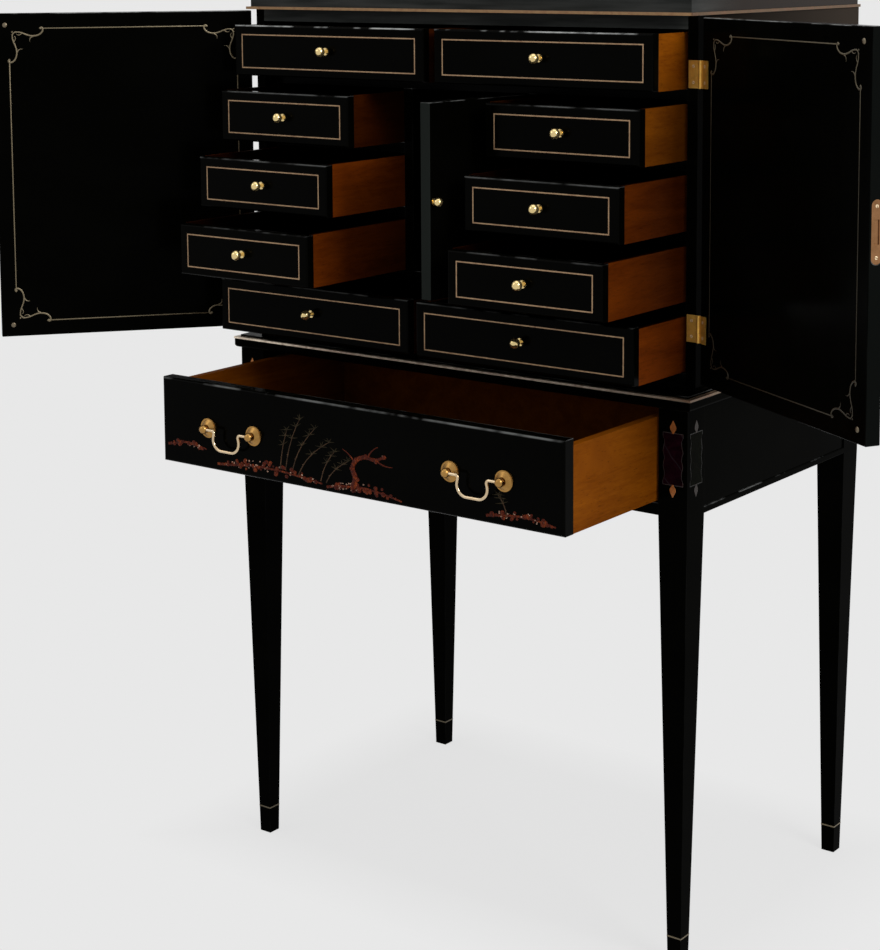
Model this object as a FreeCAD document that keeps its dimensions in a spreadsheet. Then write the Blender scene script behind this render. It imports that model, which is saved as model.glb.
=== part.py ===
import FreeCAD, Part
import math
import os
import re
import Sketcher

from FreeCAD import Placement, Rotation, Vector

# Sizes in millimetres and angles in degrees
SIZES = {
    # Stand
    "stand_width": 820,
    "stand_depth": 522,
    "leg_height": 806,
    "leg_top": 46,
    "leg_foot": 21,
    "foot_inset": 12.5,
    "apron_height": 152.5,
    "apron_thickness": 20,
    "apron_recess": 2,
    "apron_bead": 10,
    "front_rail_height": 18,
    "front_rail_depth": 40,
    "top_thickness": 14,
    "top_overhang": 7.5,
    "top_rounding": 5,
    "stand_bead_height": 3,
    "stand_bead_width": 8,
    "stand_bead_proud": 1,
    "stand_step_height": 3,
    # Long drawer in the stand
    "long_front_height": 128,
    "long_front_thickness": 22,
    "long_front_side_gap": 3.5,
    "long_front_bottom_gap": 2,
    "long_front_recess": 1,
    "long_front_rounding": 4,
    "long_box_depth": 400,
    "long_box_height": 118,
    "long_box_rise": 2.5,
    "long_wall": 12,
    "long_bottom": 6,
    "long_bottom_rise": 8,
    "long_pull": 230,
    "runner_height": 20,
    # Bail pulls on the long drawer
    "bail_centers": 89,
    "bail_from_middle": 222,
    "bail_height": 62,
    "bail_shoulder_out": 22.5,
    "bail_half_width": 29.5,
    "bail_drop": 28,
    "bail_wire": 2.2,
    "bail_shoulder": 4,
    "bail_corner": 15.5,
    "bail_pivot_out": 12,
    "bail_pivot_gap": 0.3,
    "rosette_radius": 14.5,
    "rosette_thickness": 2.5,
    "rosette_dome": 12.5,
    "rosette_dome_height": 4.5,
    "post_radius": 4,
    "post_head": 6.5,
    # Carcass
    "case_width": 800,
    "case_depth": 485,
    "side_thickness": 16,
    "bottom_thickness": 23,
    "ceiling_thickness": 19,
    "back_thickness": 10,
    # Inner case
    "case_recess": 22,
    "lining_thickness": 6.5,
    "divider_thickness": 16,
    "shelf_thickness": 16,
    "opening_height": 82,
    "compartment_width": 213,
    # Cornice
    "cornice_bead_height": 4,
    "cornice_bead_side": 3,
    "cornice_bead_front": 21,
    "frieze_height": 34,
    "frieze_inset": 2,
    "frieze_front": 15,
    "crown_height": 26,
    "crown_projection": 18,
    "cap_height": 10,
    "cap_projection": 4,
    "cap_rounding": 3,
    # Small drawers
    "drawer_gap": 1.2,
    "drawer_rise": 1,
    "running_gap": 0.3,
    "front_height_top": 77.5,
    "front_height_bank": 76,
    "front_height_bottom": 80,
    "front_thickness": 14,
    "front_rounding": 3,
    "box_depth": 415,
    "box_height": 77.5,
    "box_wall": 8,
    "box_bottom": 5,
    "box_bottom_rise": 4,
    "pull_top": 99.5,
    "pull_upper": 132.5,
    "pull_middle": 183,
    "pull_lower_left": 228,
    "pull_lower_right": 222,
    "pull_bottom_left": 140,
    "pull_bottom_right": 145.5,
    # Turned knobs
    "knob_ball": 7.3,
    "knob_reach": 13.6,
    "knob_stem": 2.6,
    "knob_base": 5.5,
    "knob_base_height": 1.6,
    "knob_rise": 1.7,
    # Main doors
    "door_width": 400,
    "door_height": 503,
    "door_thickness": 21,
    "door_rise": 10.5,
    "door_rounding": 1.5,
    "door_angle_left": 129,
    "door_angle_right": 149.5,
    # Door hinges
    "pin_out": 4.5,
    "hinge_height": 38,
    "hinge_from_end": 58,
    "leaf_thickness": 1.4,
    "leaf_width": 15,
    "leaf_gap": 0.2,
    "knuckle_radius": 3.2,
    "knuckle_gap": 0.3,
    "pin_radius": 1.4,
    "pin_clearance": 0.2,
    "screw_radius": 2.2,
    "screw_clearance": 0.1,
    "screw_from_end": 8,
    # Door lock and its strike
    "lock_rise": 8,
    "lock_height": 78,
    "lock_width": 15,
    "lock_plate": 1.5,
    "lock_case_height": 52,
    "lock_case_depth": 32,
    "lock_case_width": 10,
    "lock_clearance": 0.2,
    "slot_height": 30,
    "slot_width": 7,
    "lock_screw_from_end": 8,
    "escutcheon_radius": 11,
    "escutcheon_thickness": 1.2,
    "keyhole_radius": 2,
    # Centre door
    "center_thickness": 18,
    "center_gap": 1.2,
    "center_door_angle": 86,
    "center_hinge_height": 30,
    "center_hinge_from_end": 25,
    "center_knuckle": 2.2,
    "center_pin": 1,
    "center_leaf_width": 11,
    "center_leaf_thickness": 1,
    "center_knob_ball": 6.2,
    "center_knob_reach": 8.2,
    "center_knob_inset": 7.5,
    "center_knob_base": 5,
    "center_knob_base_height": 1.2,
}

# Planes and heights of the stand; the origin is on the floor, midway between the legs
STAND_FRONT = "(-stand_depth / 2)"
STAND_BACK = "(stand_depth / 2)"
POST_INNER = "(stand_width / 2 - leg_top)"
APRON_LEVEL = "(leg_height - apron_height)"
TOP_LEVEL = "(leg_height + top_thickness)"
STEP_REACH = "(top_overhang + stand_bead_proud - stand_bead_width)"

# Planes and heights of the carcass and its drawer bays
CASE_LEVEL = f"({TOP_LEVEL} + stand_bead_height + stand_step_height)"
CASE_FRONT = "(stand_depth / 2 - case_depth)"
BAY_FRONT = f"({CASE_FRONT} + case_recess)"
BAY_BACK = f"({STAND_BACK} - back_thickness)"
BAY_DEPTH = "(case_depth - case_recess - back_thickness)"
ROW_PITCH = "(opening_height + shelf_thickness)"
FIRST_BAY = f"({CASE_LEVEL} + bottom_thickness)"
CEILING_LEVEL = f"({FIRST_BAY} + 4 * {ROW_PITCH} + opening_height)"
CORNICE_LEVEL = f"({CEILING_LEVEL} + ceiling_thickness)"
INNER_HALF = "(case_width / 2 - side_thickness)"
BAY_OUTER = f"({INNER_HALF} - lining_thickness)"
BANK_INNER = "(compartment_width / 2 + divider_thickness)"
COMPARTMENT_LEVEL = f"({FIRST_BAY} + {ROW_PITCH})"
COMPARTMENT_HEIGHT = f"(2 * {ROW_PITCH} + opening_height)"

# Main doors stand on pins in front of the case and just outside its sides
LEAF_STACK = "(leaf_thickness + leaf_gap / 2)"
PIN_X = "(case_width / 2 + pin_out)"
PIN_Y = f"({CASE_FRONT} - {LEAF_STACK})"
DOOR_LEVEL = f"({CASE_LEVEL} + door_rise)"
DOOR_START = "(knuckle_radius + knuckle_gap)"
DOOR_END = f"({DOOR_START} + door_width)"
LOCK_LEVEL = "(door_height / 2 + lock_rise)"

# The centre door closes flush with the dividers, its pin in front of them
CENTER_PIN_FRONT = "(center_knuckle + knuckle_gap)"
CENTER_PIN_X = "(compartment_width / 2 - center_gap / 2)"
CENTER_PIN_Y = f"({BAY_FRONT} - {CENTER_PIN_FRONT})"
CENTER_START = "(center_gap / 2)"
CENTER_WIDTH = "(compartment_width - 2 * center_gap)"
CENTER_HEIGHT = f"({COMPARTMENT_HEIGHT} - 2 * center_gap)"
CENTER_LEVEL = f"({COMPARTMENT_LEVEL} + center_gap)"

# Planes of the long drawer and its pulls
LONG_FRONT_LEVEL = f"({APRON_LEVEL} + front_rail_height + long_front_bottom_gap)"
LONG_BOX_LEVEL = f"({APRON_LEVEL} + front_rail_height + long_box_rise)"
LONG_HALF = f"({POST_INNER} - long_front_side_gap)"
LONG_FRONT = f"({STAND_FRONT} + long_front_recess - long_pull)"
LONG_BOX_FRONT = f"({LONG_FRONT} + long_front_thickness)"
BAIL_LEVEL = f"({LONG_FRONT_LEVEL} + bail_height)"
BAIL_PIVOT = f"({LONG_FRONT} - bail_pivot_out)"

# Small drawers: name, side of the middle, kind, row from the bottom, pull
SMALL_DRAWERS = [
    ("top_left", -1, "top", 4, "pull_top"),
    ("top_right", 1, "top", 4, "pull_top"),
    ("upper_left", -1, "bank", 3, "pull_upper"),
    ("upper_right", 1, "bank", 3, "pull_upper"),
    ("middle_left", -1, "bank", 2, "pull_middle"),
    ("middle_right", 1, "bank", 2, "pull_middle"),
    ("lower_left", -1, "bank", 1, "pull_lower_left"),
    ("lower_right", 1, "bank", 1, "pull_lower_right"),
    ("bottom_left", -1, "bottom", 0, "pull_bottom_left"),
    ("bottom_right", 1, "bottom", 0, "pull_bottom_right"),
]
BAY_INNER = {"top": "(divider_thickness / 2)", "bank": BANK_INNER, "bottom": "(divider_thickness / 2)"}
SIDES = ((-1, "left"), (1, "right"))

doc = FreeCAD.newDocument("cabinet")
sheet = doc.addObject("Spreadsheet::Sheet", "sizes")
WORD = re.compile(r"[a-z][a-z_]+")
NODES = []


# The sheet and the expressions that read it
def fill_sheet():
    for row, (name, value) in enumerate(SIZES.items(), start=1):
        sheet.set(f"A{row}", name)
        sheet.set(f"B{row}", str(value))
        sheet.setAlias(f"B{row}", name)
    doc.recompute()


def sized(text):
    """The expression with each size's name led by the sheet's name."""
    return WORD.sub(lambda m: f"sizes.{m.group()}" if m.group() in SIZES else m.group(), text)


def bind(item, **texts):
    for prop, text in texts.items():
        item.setExpression(prop, sized(text))
    return item


def place(item, corner):
    for axis, text in zip("xyz", corner):
        item.setExpression(f"Placement.Base.{axis}", sized(text))
    return item


def swing(item, pin, angle):
    """Stands an item that is drawn round its pin at the pin, turned about the vertical."""
    place(item, pin)
    item.setExpression("Placement.Rotation.Angle", sized(angle))
    return item


def low(side, start, length):
    """The low end of a stretch that runs outward from start on one side of the middle."""
    return f"({start})" if side > 0 else f"(-({start}) - ({length}))"


def node(item, name):
    item.Label = name
    NODES.append(item)
    return item


def group(name, pieces):
    item = doc.addObject("Part::Compound", name + "_group")
    item.Links = pieces
    return node(item, name)


# Plain pieces
def board(name, lengths, corner):
    item = doc.addObject("Part::Box", name)
    bind(item, Length=lengths[0], Width=lengths[1], Height=lengths[2])
    return place(item, corner)


TURNS = {"z": Rotation(), "-y": Rotation(Vector(1, 0, 0), 90), "x": Rotation(Vector(0, 1, 0), 90)}


def rod(name, radius, length, start, axis="z"):
    item = doc.addObject("Part::Cylinder", name)
    bind(item, Radius=radius, Height=length)
    item.Placement = Placement(Vector(), TURNS[axis])
    return place(item, start)


def cone(name, radii, height, start):
    """A cone cut off at both ends that narrows towards the front."""
    item = doc.addObject("Part::Cone", name)
    bind(item, Radius1=radii[0], Radius2=radii[1], Height=height)
    item.Placement = Placement(Vector(), TURNS["-y"])
    return place(item, start)


def ball(name, radius, center):
    item = doc.addObject("Part::Sphere", name)
    bind(item, Radius=radius)
    return place(item, center)


def fuse(name, pieces):
    item = doc.addObject("Part::MultiFuse", name)
    item.Shapes = pieces
    return item


def cut(name, base, tools):
    item = doc.addObject("Part::Cut", name)
    item.Base = base
    item.Tool = tools[0] if len(tools) == 1 else fuse(name + "_tools", tools)
    return item


# Bodies drawn in sketches
def rectangle(body, name, lengths, offset=("0", "0", "0")):
    """A sketched rectangle from an offset point of the body's floor plane."""
    sketch = body.newObject("Sketcher::SketchObject", name)
    floor_plane = next(f for f in body.Origin.OriginFeatures if f.Role == "XY_Plane")
    sketch.AttachmentSupport = (floor_plane, "")
    sketch.MapMode = "FlatFace"
    for axis, text in zip("xyz", offset):
        sketch.setExpression(f"AttachmentOffset.Base.{axis}", sized(text))
    corners = [Vector(), Vector(1, 0, 0), Vector(1, 1, 0), Vector(0, 1, 0)]
    for start, end in zip(corners, corners[1:] + corners[:1]):
        sketch.addGeometry(Part.LineSegment(start, end))
    for line in range(4):
        sketch.addConstraint(Sketcher.Constraint("Coincident", line, 2, (line + 1) % 4, 1))
        kind = "Vertical" if line % 2 else "Horizontal"
        sketch.addConstraint(Sketcher.Constraint(kind, line))
    sketch.addConstraint(Sketcher.Constraint("Coincident", 0, 1, -1, 1))
    for line, (label, kind) in enumerate((("across", "DistanceX"), ("along", "DistanceY"))):
        index = sketch.addConstraint(Sketcher.Constraint(kind, line, 1, line, 2, 1))
        sketch.renameConstraint(index, label)
        sketch.setExpression(f"Constraints.{label}", sized(lengths[line]))
    return sketch


def pad_up(body, sketch, height):
    pad = body.newObject("PartDesign::Pad", sketch.Name + "_pad")
    pad.Profile = sketch
    bind(pad, Length=height)
    body.Tip = pad
    doc.recompute()


def block(name, lengths, offset=("0", "0", "0")):
    body = doc.addObject("PartDesign::Body", name)
    sketch = rectangle(body, name + "_outline", lengths[:2], offset)
    pad_up(body, sketch, lengths[2])
    return body


def edges_where(shape, wanted):
    """Names of the edges whose middles lie at wanted shares, 0, 0.5 or 1, of the shape's box."""
    box = shape.BoundBox
    low_corner = Vector(box.XMin, box.YMin, box.ZMin)
    spans = (box.XLength, box.YLength, box.ZLength)
    names = []
    for index, edge in enumerate(shape.Edges, start=1):
        middle = edge.CenterOfMass - low_corner
        shares = [round(2 * reach / span) / 2 for reach, span in zip(middle, spans)]
        if wanted(*shares):
            names.append(f"Edge{index}")
    return names


def eased(body, kind, prop, amount, wanted):
    """Rounds or bevels the wanted edges of a body."""
    base = body.Tip
    feature = body.newObject(f"PartDesign::{kind}", f"{body.Name}_{kind.lower()}")
    feature.Base = (base, edges_where(base.Shape, wanted))
    bind(feature, **{prop: amount})
    body.Tip = feature
    doc.recompute()
    return body


def rounded(body, radius, wanted=lambda x, y, z: True):
    return eased(body, "Fillet", "Radius", radius, wanted)


# Stand
def leg(name, side, end):
    """A square post beside the aprons that tapers to its foot below them."""
    body = doc.addObject("PartDesign::Body", name)
    post = rectangle(body, name + "_post", ("leg_top", "leg_top"), ("0", "0", APRON_LEVEL))
    pad_up(body, post, "apron_height")
    far_inset = "leg_top - leg_foot - foot_inset"
    inset_x = "foot_inset" if side < 0 else far_inset
    inset_y = "foot_inset" if end < 0 else far_inset
    foot = rectangle(body, name + "_foot", ("leg_foot", "leg_foot"), (inset_x, inset_y, "0"))
    knee = rectangle(body, name + "_knee", ("leg_top", "leg_top"), ("0", "0", APRON_LEVEL))
    taper = body.newObject("PartDesign::AdditiveLoft", name + "_taper")
    taper.Profile = foot
    taper.Sections = [knee]
    taper.Ruled = True
    body.Tip = taper
    doc.recompute()
    y = STAND_FRONT if end < 0 else f"{STAND_BACK} - leg_top"
    return place(body, (low(side, POST_INNER, "leg_top"), y, "0"))


def legs():
    for end, end_name in ((-1, "front"), (1, "back")):
        pair = [leg(f"leg_{end_name}_{side_name}", side, end) for side, side_name in SIDES]
        group(f"{end_name}_legs", pair)


def side_aprons():
    """Panels set back from the posts, each over a bead that is flush with them."""
    pieces = []
    outer = "stand_width / 2 - apron_recess"
    length = "stand_depth - 2 * leg_top"
    start_y = f"{STAND_FRONT} + leg_top"
    for side, side_name in SIDES:
        panel_x = low(side, f"{outer} - apron_thickness", "apron_thickness")
        panel = board(
            f"apron_{side_name}_panel",
            ("apron_thickness", length, "apron_height - apron_bead"),
            (panel_x, start_y, f"{APRON_LEVEL} + apron_bead"),
        )
        bead_width = "apron_thickness + apron_recess"
        bead = block(f"apron_{side_name}_bead", (bead_width, length, "apron_bead"))
        outer_share = 0 if side < 0 else 1
        rounded(bead, "apron_recess", lambda x, y, z, face=outer_share: x == face and y == 0.5)
        place(bead, (low(side, f"{outer} - apron_thickness", bead_width), start_y, APRON_LEVEL))
        pieces += [panel, bead]
    group("side_aprons", pieces)


def back_apron():
    apron = board(
        "back_apron",
        (f"2 * {POST_INNER}", "apron_thickness", "apron_height"),
        (f"-{POST_INNER}", f"{STAND_BACK} - apron_recess - apron_thickness", APRON_LEVEL),
    )
    node(apron, "back_apron")


def front_rail():
    rail = block("front_rail", (f"2 * {POST_INNER}", "front_rail_depth", "front_rail_height"))
    rounded(rail, "apron_recess", lambda x, y, z: x == 0.5 and y == 0)
    node(place(rail, (f"-{POST_INNER}", STAND_FRONT, APRON_LEVEL)), "front_rail")


def drawer_runners():
    """Strips on the posts' inner faces, under the walls of the long drawer."""
    width = "long_front_side_gap + long_wall"
    length = "stand_depth - front_rail_depth - apron_recess - apron_thickness"
    level = f"{LONG_BOX_LEVEL} - running_gap - runner_height"
    strips = []
    for side, side_name in SIDES:
        x = low(side, f"{POST_INNER} - ({width})", width)
        corner = (x, f"{STAND_FRONT} + front_rail_depth", level)
        strips.append(board(f"runner_{side_name}", (width, length, "runner_height"), corner))
    group("drawer_runners", strips)


def stand_top():
    """The moulded top board with the step that the carcass stands on."""
    width = "stand_width + 2 * top_overhang"
    top = block("stand_top_board", (width, "stand_depth + top_overhang", "top_thickness"))
    rounded(top, "top_rounding", lambda x, y, z: z == 0 and y < 1)
    place(top, ("-stand_width / 2 - top_overhang", f"{STAND_FRONT} - top_overhang", "leg_height"))
    step_height = "stand_bead_height + stand_step_height"
    step = board(
        "stand_step",
        (f"stand_width + 2 * {STEP_REACH}", f"stand_depth + {STEP_REACH}", step_height),
        (f"-stand_width / 2 - {STEP_REACH}", f"{STAND_FRONT} - {STEP_REACH}", TOP_LEVEL),
    )
    group("stand_top", [top, step])


def stand_bead():
    """The gilt strip round the front and sides of the stand's top."""
    outer = "(stand_width / 2 + top_overhang + stand_bead_proud)"
    front_y = f"{STAND_FRONT} - top_overhang - stand_bead_proud"
    strips = [
        board(
            "stand_bead_front",
            (f"2 * {outer}", "stand_bead_width", "stand_bead_height"),
            (f"-{outer}", front_y, TOP_LEVEL),
        )
    ]
    length = "stand_depth + top_overhang + stand_bead_proud - stand_bead_width"
    for side, side_name in SIDES:
        x = low(side, f"{outer} - stand_bead_width", "stand_bead_width")
        corner = (x, f"{front_y} + stand_bead_width", TOP_LEVEL)
        lengths = ("stand_bead_width", length, "stand_bead_height")
        strips.append(board(f"stand_bead_{side_name}", lengths, corner))
    group("stand_bead", strips)


# Carcass and inner case
def carcass():
    """Two sides, with the bottom, the top and the back let in between them."""
    sides = []
    for side, side_name in SIDES:
        corner = (low(side, INNER_HALF, "side_thickness"), CASE_FRONT, CASE_LEVEL)
        lengths = ("side_thickness", "case_depth", f"{CORNICE_LEVEL} - {CASE_LEVEL}")
        sides.append(board(f"case_side_{side_name}", lengths, corner))
    group("case_sides", sides)
    inner_width = f"2 * {INNER_HALF}"
    bottom = board(
        "case_bottom",
        (inner_width, "case_depth", "bottom_thickness"),
        (f"-{INNER_HALF}", CASE_FRONT, CASE_LEVEL),
    )
    ceiling = board(
        "case_ceiling",
        (inner_width, "case_depth", "ceiling_thickness"),
        (f"-{INNER_HALF}", CASE_FRONT, CEILING_LEVEL),
    )
    group("case_top_and_bottom", [ceiling, bottom])
    back = board(
        "case_back",
        (inner_width, "back_thickness", f"{CEILING_LEVEL} - {FIRST_BAY}"),
        (f"-{INNER_HALF}", BAY_BACK, FIRST_BAY),
    )
    node(back, "case_back")


def case_uprights():
    """Linings beside the banks, dividers beside the compartment, posts between the wide drawers."""
    uprights = []
    for side, side_name in SIDES:
        lining = board(
            f"lining_{side_name}",
            ("lining_thickness", BAY_DEPTH, f"{CEILING_LEVEL} - {FIRST_BAY}"),
            (low(side, BAY_OUTER, "lining_thickness"), BAY_FRONT, FIRST_BAY),
        )
        divider = board(
            f"divider_{side_name}",
            ("divider_thickness", BAY_DEPTH, COMPARTMENT_HEIGHT),
            (low(side, "compartment_width / 2", "divider_thickness"), BAY_FRONT, COMPARTMENT_LEVEL),
        )
        uprights += [lining, divider]
    for row, row_name in ((0, "bottom"), (4, "top")):
        post = board(
            f"post_{row_name}",
            ("divider_thickness", BAY_DEPTH, "opening_height"),
            ("-divider_thickness / 2", BAY_FRONT, f"{FIRST_BAY} + {row} * {ROW_PITCH}"),
        )
        uprights.append(post)
    group("case_uprights", uprights)


def case_shelves():
    """Two shelves across the case and four between the drawers of the banks."""
    shelves = []
    bank_width = f"{BAY_OUTER} - {BANK_INNER}"
    for row in range(4):
        level = f"{FIRST_BAY} + {row} * {ROW_PITCH} + opening_height"
        if row in (0, 3):
            lengths = (f"2 * {BAY_OUTER}", BAY_DEPTH, "shelf_thickness")
            shelves.append(board(f"wide_shelf_{row}", lengths, (f"-{BAY_OUTER}", BAY_FRONT, level)))
            continue
        for side, side_name in SIDES:
            lengths = (bank_width, BAY_DEPTH, "shelf_thickness")
            corner = (low(side, BANK_INNER, bank_width), BAY_FRONT, level)
            shelves.append(board(f"bank_shelf_{side_name}_{row}", lengths, corner))
    group("case_shelves", shelves)


def cornice():
    """A gilt bead over the doors, a plain frieze, a bevelled crown and a cap."""
    half = "case_width / 2"
    bead = board(
        "cornice_bead",
        ("case_width + 2 * cornice_bead_side", "case_depth + cornice_bead_front", "cornice_bead_height"),
        (f"-{half} - cornice_bead_side", f"{CASE_FRONT} - cornice_bead_front", CORNICE_LEVEL),
    )
    node(bead, "cornice_bead")
    frieze_level = f"{CORNICE_LEVEL} + cornice_bead_height"
    frieze = board(
        "cornice_frieze",
        ("case_width - 2 * frieze_inset", "case_depth + frieze_front", "frieze_height"),
        (f"-{half} + frieze_inset", f"{CASE_FRONT} - frieze_front", frieze_level),
    )
    crown_reach = "crown_projection - frieze_inset"
    crown_front = "frieze_front + crown_projection"
    crown_width = f"case_width + 2 * ({crown_reach})"
    crown = block("cornice_crown", (crown_width, f"case_depth + {crown_front}", "crown_height"))
    eased(crown, "Chamfer", "Size", "crown_projection", lambda x, y, z: z == 0 and y < 1)
    crown_level = f"{frieze_level} + frieze_height"
    place(crown, (f"-{half} - ({crown_reach})", f"{CASE_FRONT} - ({crown_front})", crown_level))
    cap_reach = f"{crown_reach} + cap_projection"
    cap_front = f"{crown_front} + cap_projection"
    cap = block("cornice_cap", (f"case_width + 2 * ({cap_reach})", f"case_depth + {cap_front}", "cap_height"))
    rounded(cap, "cap_rounding", lambda x, y, z: z != 0.5 and y < 1)
    cap_level = f"{crown_level} + crown_height"
    place(cap, (f"-{half} - ({cap_reach})", f"{CASE_FRONT} - ({cap_front})", cap_level))
    group("cornice", [frieze, crown, cap])


# Drawers
def drawer_box(name, lengths, kind, corner):
    """Two walls, a back and a bottom let in between them, open at the top."""
    width, depth, height = lengths
    wall, bottom, rise = f"{kind}_wall", f"{kind}_bottom", f"{kind}_bottom_rise"
    x, y, z = corner
    walls = [
        board(f"{name}_wall_left", (wall, depth, height), corner),
        board(f"{name}_wall_right", (wall, depth, height), (f"{x} + {width} - {wall}", y, z)),
    ]
    inner = f"{width} - 2 * {wall}"
    inner_x = f"{x} + {wall}"
    back = board(f"{name}_back", (inner, wall, height), (inner_x, f"{y} + {depth} - {wall}", z))
    floor_size = (inner, f"{depth} - {wall}", bottom)
    floor = board(f"{name}_bottom", floor_size, (inner_x, y, f"{z} + {rise}"))
    return group(name, walls + [back, floor])


def knob(name, face, kind):
    """A ball on a stem and a round base, standing out from a face towards the front."""
    x, y, z = face
    parts = [
        rod(f"{name}_base", f"{kind}_base", f"{kind}_base_height", face, "-y"),
        rod(f"{name}_stem", "knob_stem", f"{kind}_reach", face, "-y"),
        ball(f"{name}_ball", f"{kind}_ball", (x, f"{y} - {kind}_reach", z)),
    ]
    return fuse(name, parts)


def small_drawer(name, side, kind, row, pull):
    width = f"({BAY_OUTER} - {BAY_INNER[kind]} - 2 * drawer_gap)"
    height = f"front_height_{kind}"
    x = low(side, f"{BAY_INNER[kind]} + drawer_gap", width)
    y = f"({BAY_FRONT} - {pull})"
    level = f"({FIRST_BAY} + {row} * {ROW_PITCH})"
    front = block(f"{name}_front", (width, "front_thickness", height))
    rounded(front, "front_rounding", lambda x, y, z: y == 0)
    node(place(front, (x, y, f"{level} + drawer_rise")), f"{name}_front")
    corner = (x, f"{y} + front_thickness", f"{level} + running_gap")
    drawer_box(f"{name}_box", (width, "box_depth", "box_height"), "box", corner)
    face = (f"{x} + {width} / 2", y, f"{level} + drawer_rise + {height} / 2 + knob_rise")
    node(knob(f"{name}_knob", face, "knob"), f"{name}_knob")


def long_drawer():
    width = f"(2 * {LONG_HALF})"
    front = block("long_drawer_front", (width, "long_front_thickness", "long_front_height"))
    rounded(front, "long_front_rounding", lambda x, y, z: y == 0)
    node(place(front, (f"-{LONG_HALF}", LONG_FRONT, LONG_FRONT_LEVEL)), "long_drawer_front")
    corner = (f"-{LONG_HALF}", LONG_BOX_FRONT, LONG_BOX_LEVEL)
    drawer_box("long_drawer_box", (width, "long_box_depth", "long_box_height"), "long", corner)


def bail_posts():
    """Domed rosettes with a post whose head is bored across for the bail's end."""
    posts = []
    rim = "rosette_thickness"
    for side, side_name in SIDES:
        for end, end_name in SIDES:
            name = f"post_{side_name}_{end_name}"
            x = f"({side} * bail_from_middle + {end} * bail_centers / 2)"
            face = (x, LONG_FRONT, BAIL_LEVEL)
            rim_face = (x, f"{LONG_FRONT} - {rim}", BAIL_LEVEL)
            dome_radii = ("rosette_dome", "post_head")
            solid = fuse(
                name + "_solid",
                [
                    rod(name + "_rosette", "rosette_radius", rim, face, "-y"),
                    cone(name + "_dome", dome_radii, "rosette_dome_height", rim_face),
                    rod(name + "_stem", "post_radius", "bail_pivot_out", face, "-y"),
                    ball(name + "_head", "post_head", (x, BAIL_PIVOT, BAIL_LEVEL)),
                ],
            )
            bore = rod(
                name + "_bore",
                "bail_wire + bail_pivot_gap",
                "2 * post_head",
                (f"{x} - post_head", BAIL_PIVOT, BAIL_LEVEL),
                "x",
            )
            posts.append(cut(name, solid, [bore]))
    group("bail_posts", posts)


def size_of(text):
    """The value of an expression of sizes, for a shape that code draws."""
    return doc.sizes.evalExpression(sized(text))


def bail(name, side):
    """Round wire: an end in each post, a shoulder, a spread leg and a wide corner on both sides."""
    half_centers = size_of("bail_centers / 2")
    drop = size_of("bail_drop")
    bends = (size_of("bail_shoulder"), size_of("bail_corner"))
    right = [(half_centers, 0), (size_of("bail_shoulder_out"), 0), (size_of("bail_half_width"), -drop)]
    corners = [Vector(x, 0, z) for x, z in right] + [Vector(-x, 0, z) for x, z in reversed(right)]
    radii = [bends[0], bends[1], bends[1], bends[0]]
    edges = []
    reached = corners[0]
    for before, corner, after, radius in zip(corners, corners[1:], corners[2:], radii):
        back = (before - corner).normalize()
        onward = (after - corner).normalize()
        half_angle = back.getAngle(onward) / 2
        reach = radius / math.tan(half_angle)
        middle = corner + (back + onward).normalize() * (radius / math.sin(half_angle) - radius)
        edges.append(Part.LineSegment(reached, corner + back * reach).toShape())
        edges.append(Part.Arc(corner + back * reach, middle, corner + onward * reach).toShape())
        reached = corner + onward * reach
    edges.append(Part.LineSegment(reached, corners[-1]).toShape())
    section = Part.Wire(Part.Circle(corners[0], Vector(1, 0, 0), size_of("bail_wire")).toShape())
    item = doc.addObject("Part::Feature", name)
    item.Shape = Part.Wire(edges).makePipeShell([section], True, False)
    place(item, (f"{side} * bail_from_middle", BAIL_PIVOT, BAIL_LEVEL))
    return node(item, name)


# Hinges, each drawn round its pin with the door closed
def leaf(name, side, face_y, level):
    """A leaf's plate with its screws; it runs inward from the pin on one side."""
    x = low(-side, DOOR_START, "leaf_width")
    plate = board(name + "_plate", ("leaf_width", "leaf_thickness", "hinge_height"), (x, face_y, level))
    holes = []
    heads = []
    for index, height in enumerate(HINGE_SCREWS):
        start = (f"{x} + leaf_width / 2", f"{face_y} + leaf_thickness", f"{level} + {height}")
        hole_radius = "screw_radius + screw_clearance"
        holes.append(rod(f"{name}_hole_{index}", hole_radius, "leaf_thickness", start, "-y"))
        heads.append(rod(f"{name}_screw_{index}", "screw_radius", "leaf_thickness", start, "-y"))
    return cut(name + "_drilled", plate, holes), heads


def knuckle(name, side, stretch, face_y):
    """A barrel round the pin with the tab that joins it to its leaf."""
    level, length = stretch
    tab_x = low(-side, "0", DOOR_START)
    tab = board(name + "_tab", (DOOR_START, "leaf_thickness", length), (tab_x, face_y, level))
    barrel = rod(name + "_barrel", "knuckle_radius", length, ("0", "0", level))
    return fuse(name, [tab, barrel])


def pin_hole(name, level):
    return rod(name, "pin_radius + pin_clearance", "hinge_height", ("0", "0", level))


def door_pin(side):
    return (f"{side} * {PIN_X}", PIN_Y, DOOR_LEVEL)


def door_turn(side):
    return "door_angle_right" if side > 0 else "-door_angle_left"


HINGE_LEVELS = (
    ("lower", "hinge_from_end"),
    ("upper", "(door_height - hinge_from_end - hinge_height)"),
)
HINGE_SCREWS = ("screw_from_end", "hinge_height - screw_from_end")
THIRD = "(hinge_height / 3)"


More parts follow.
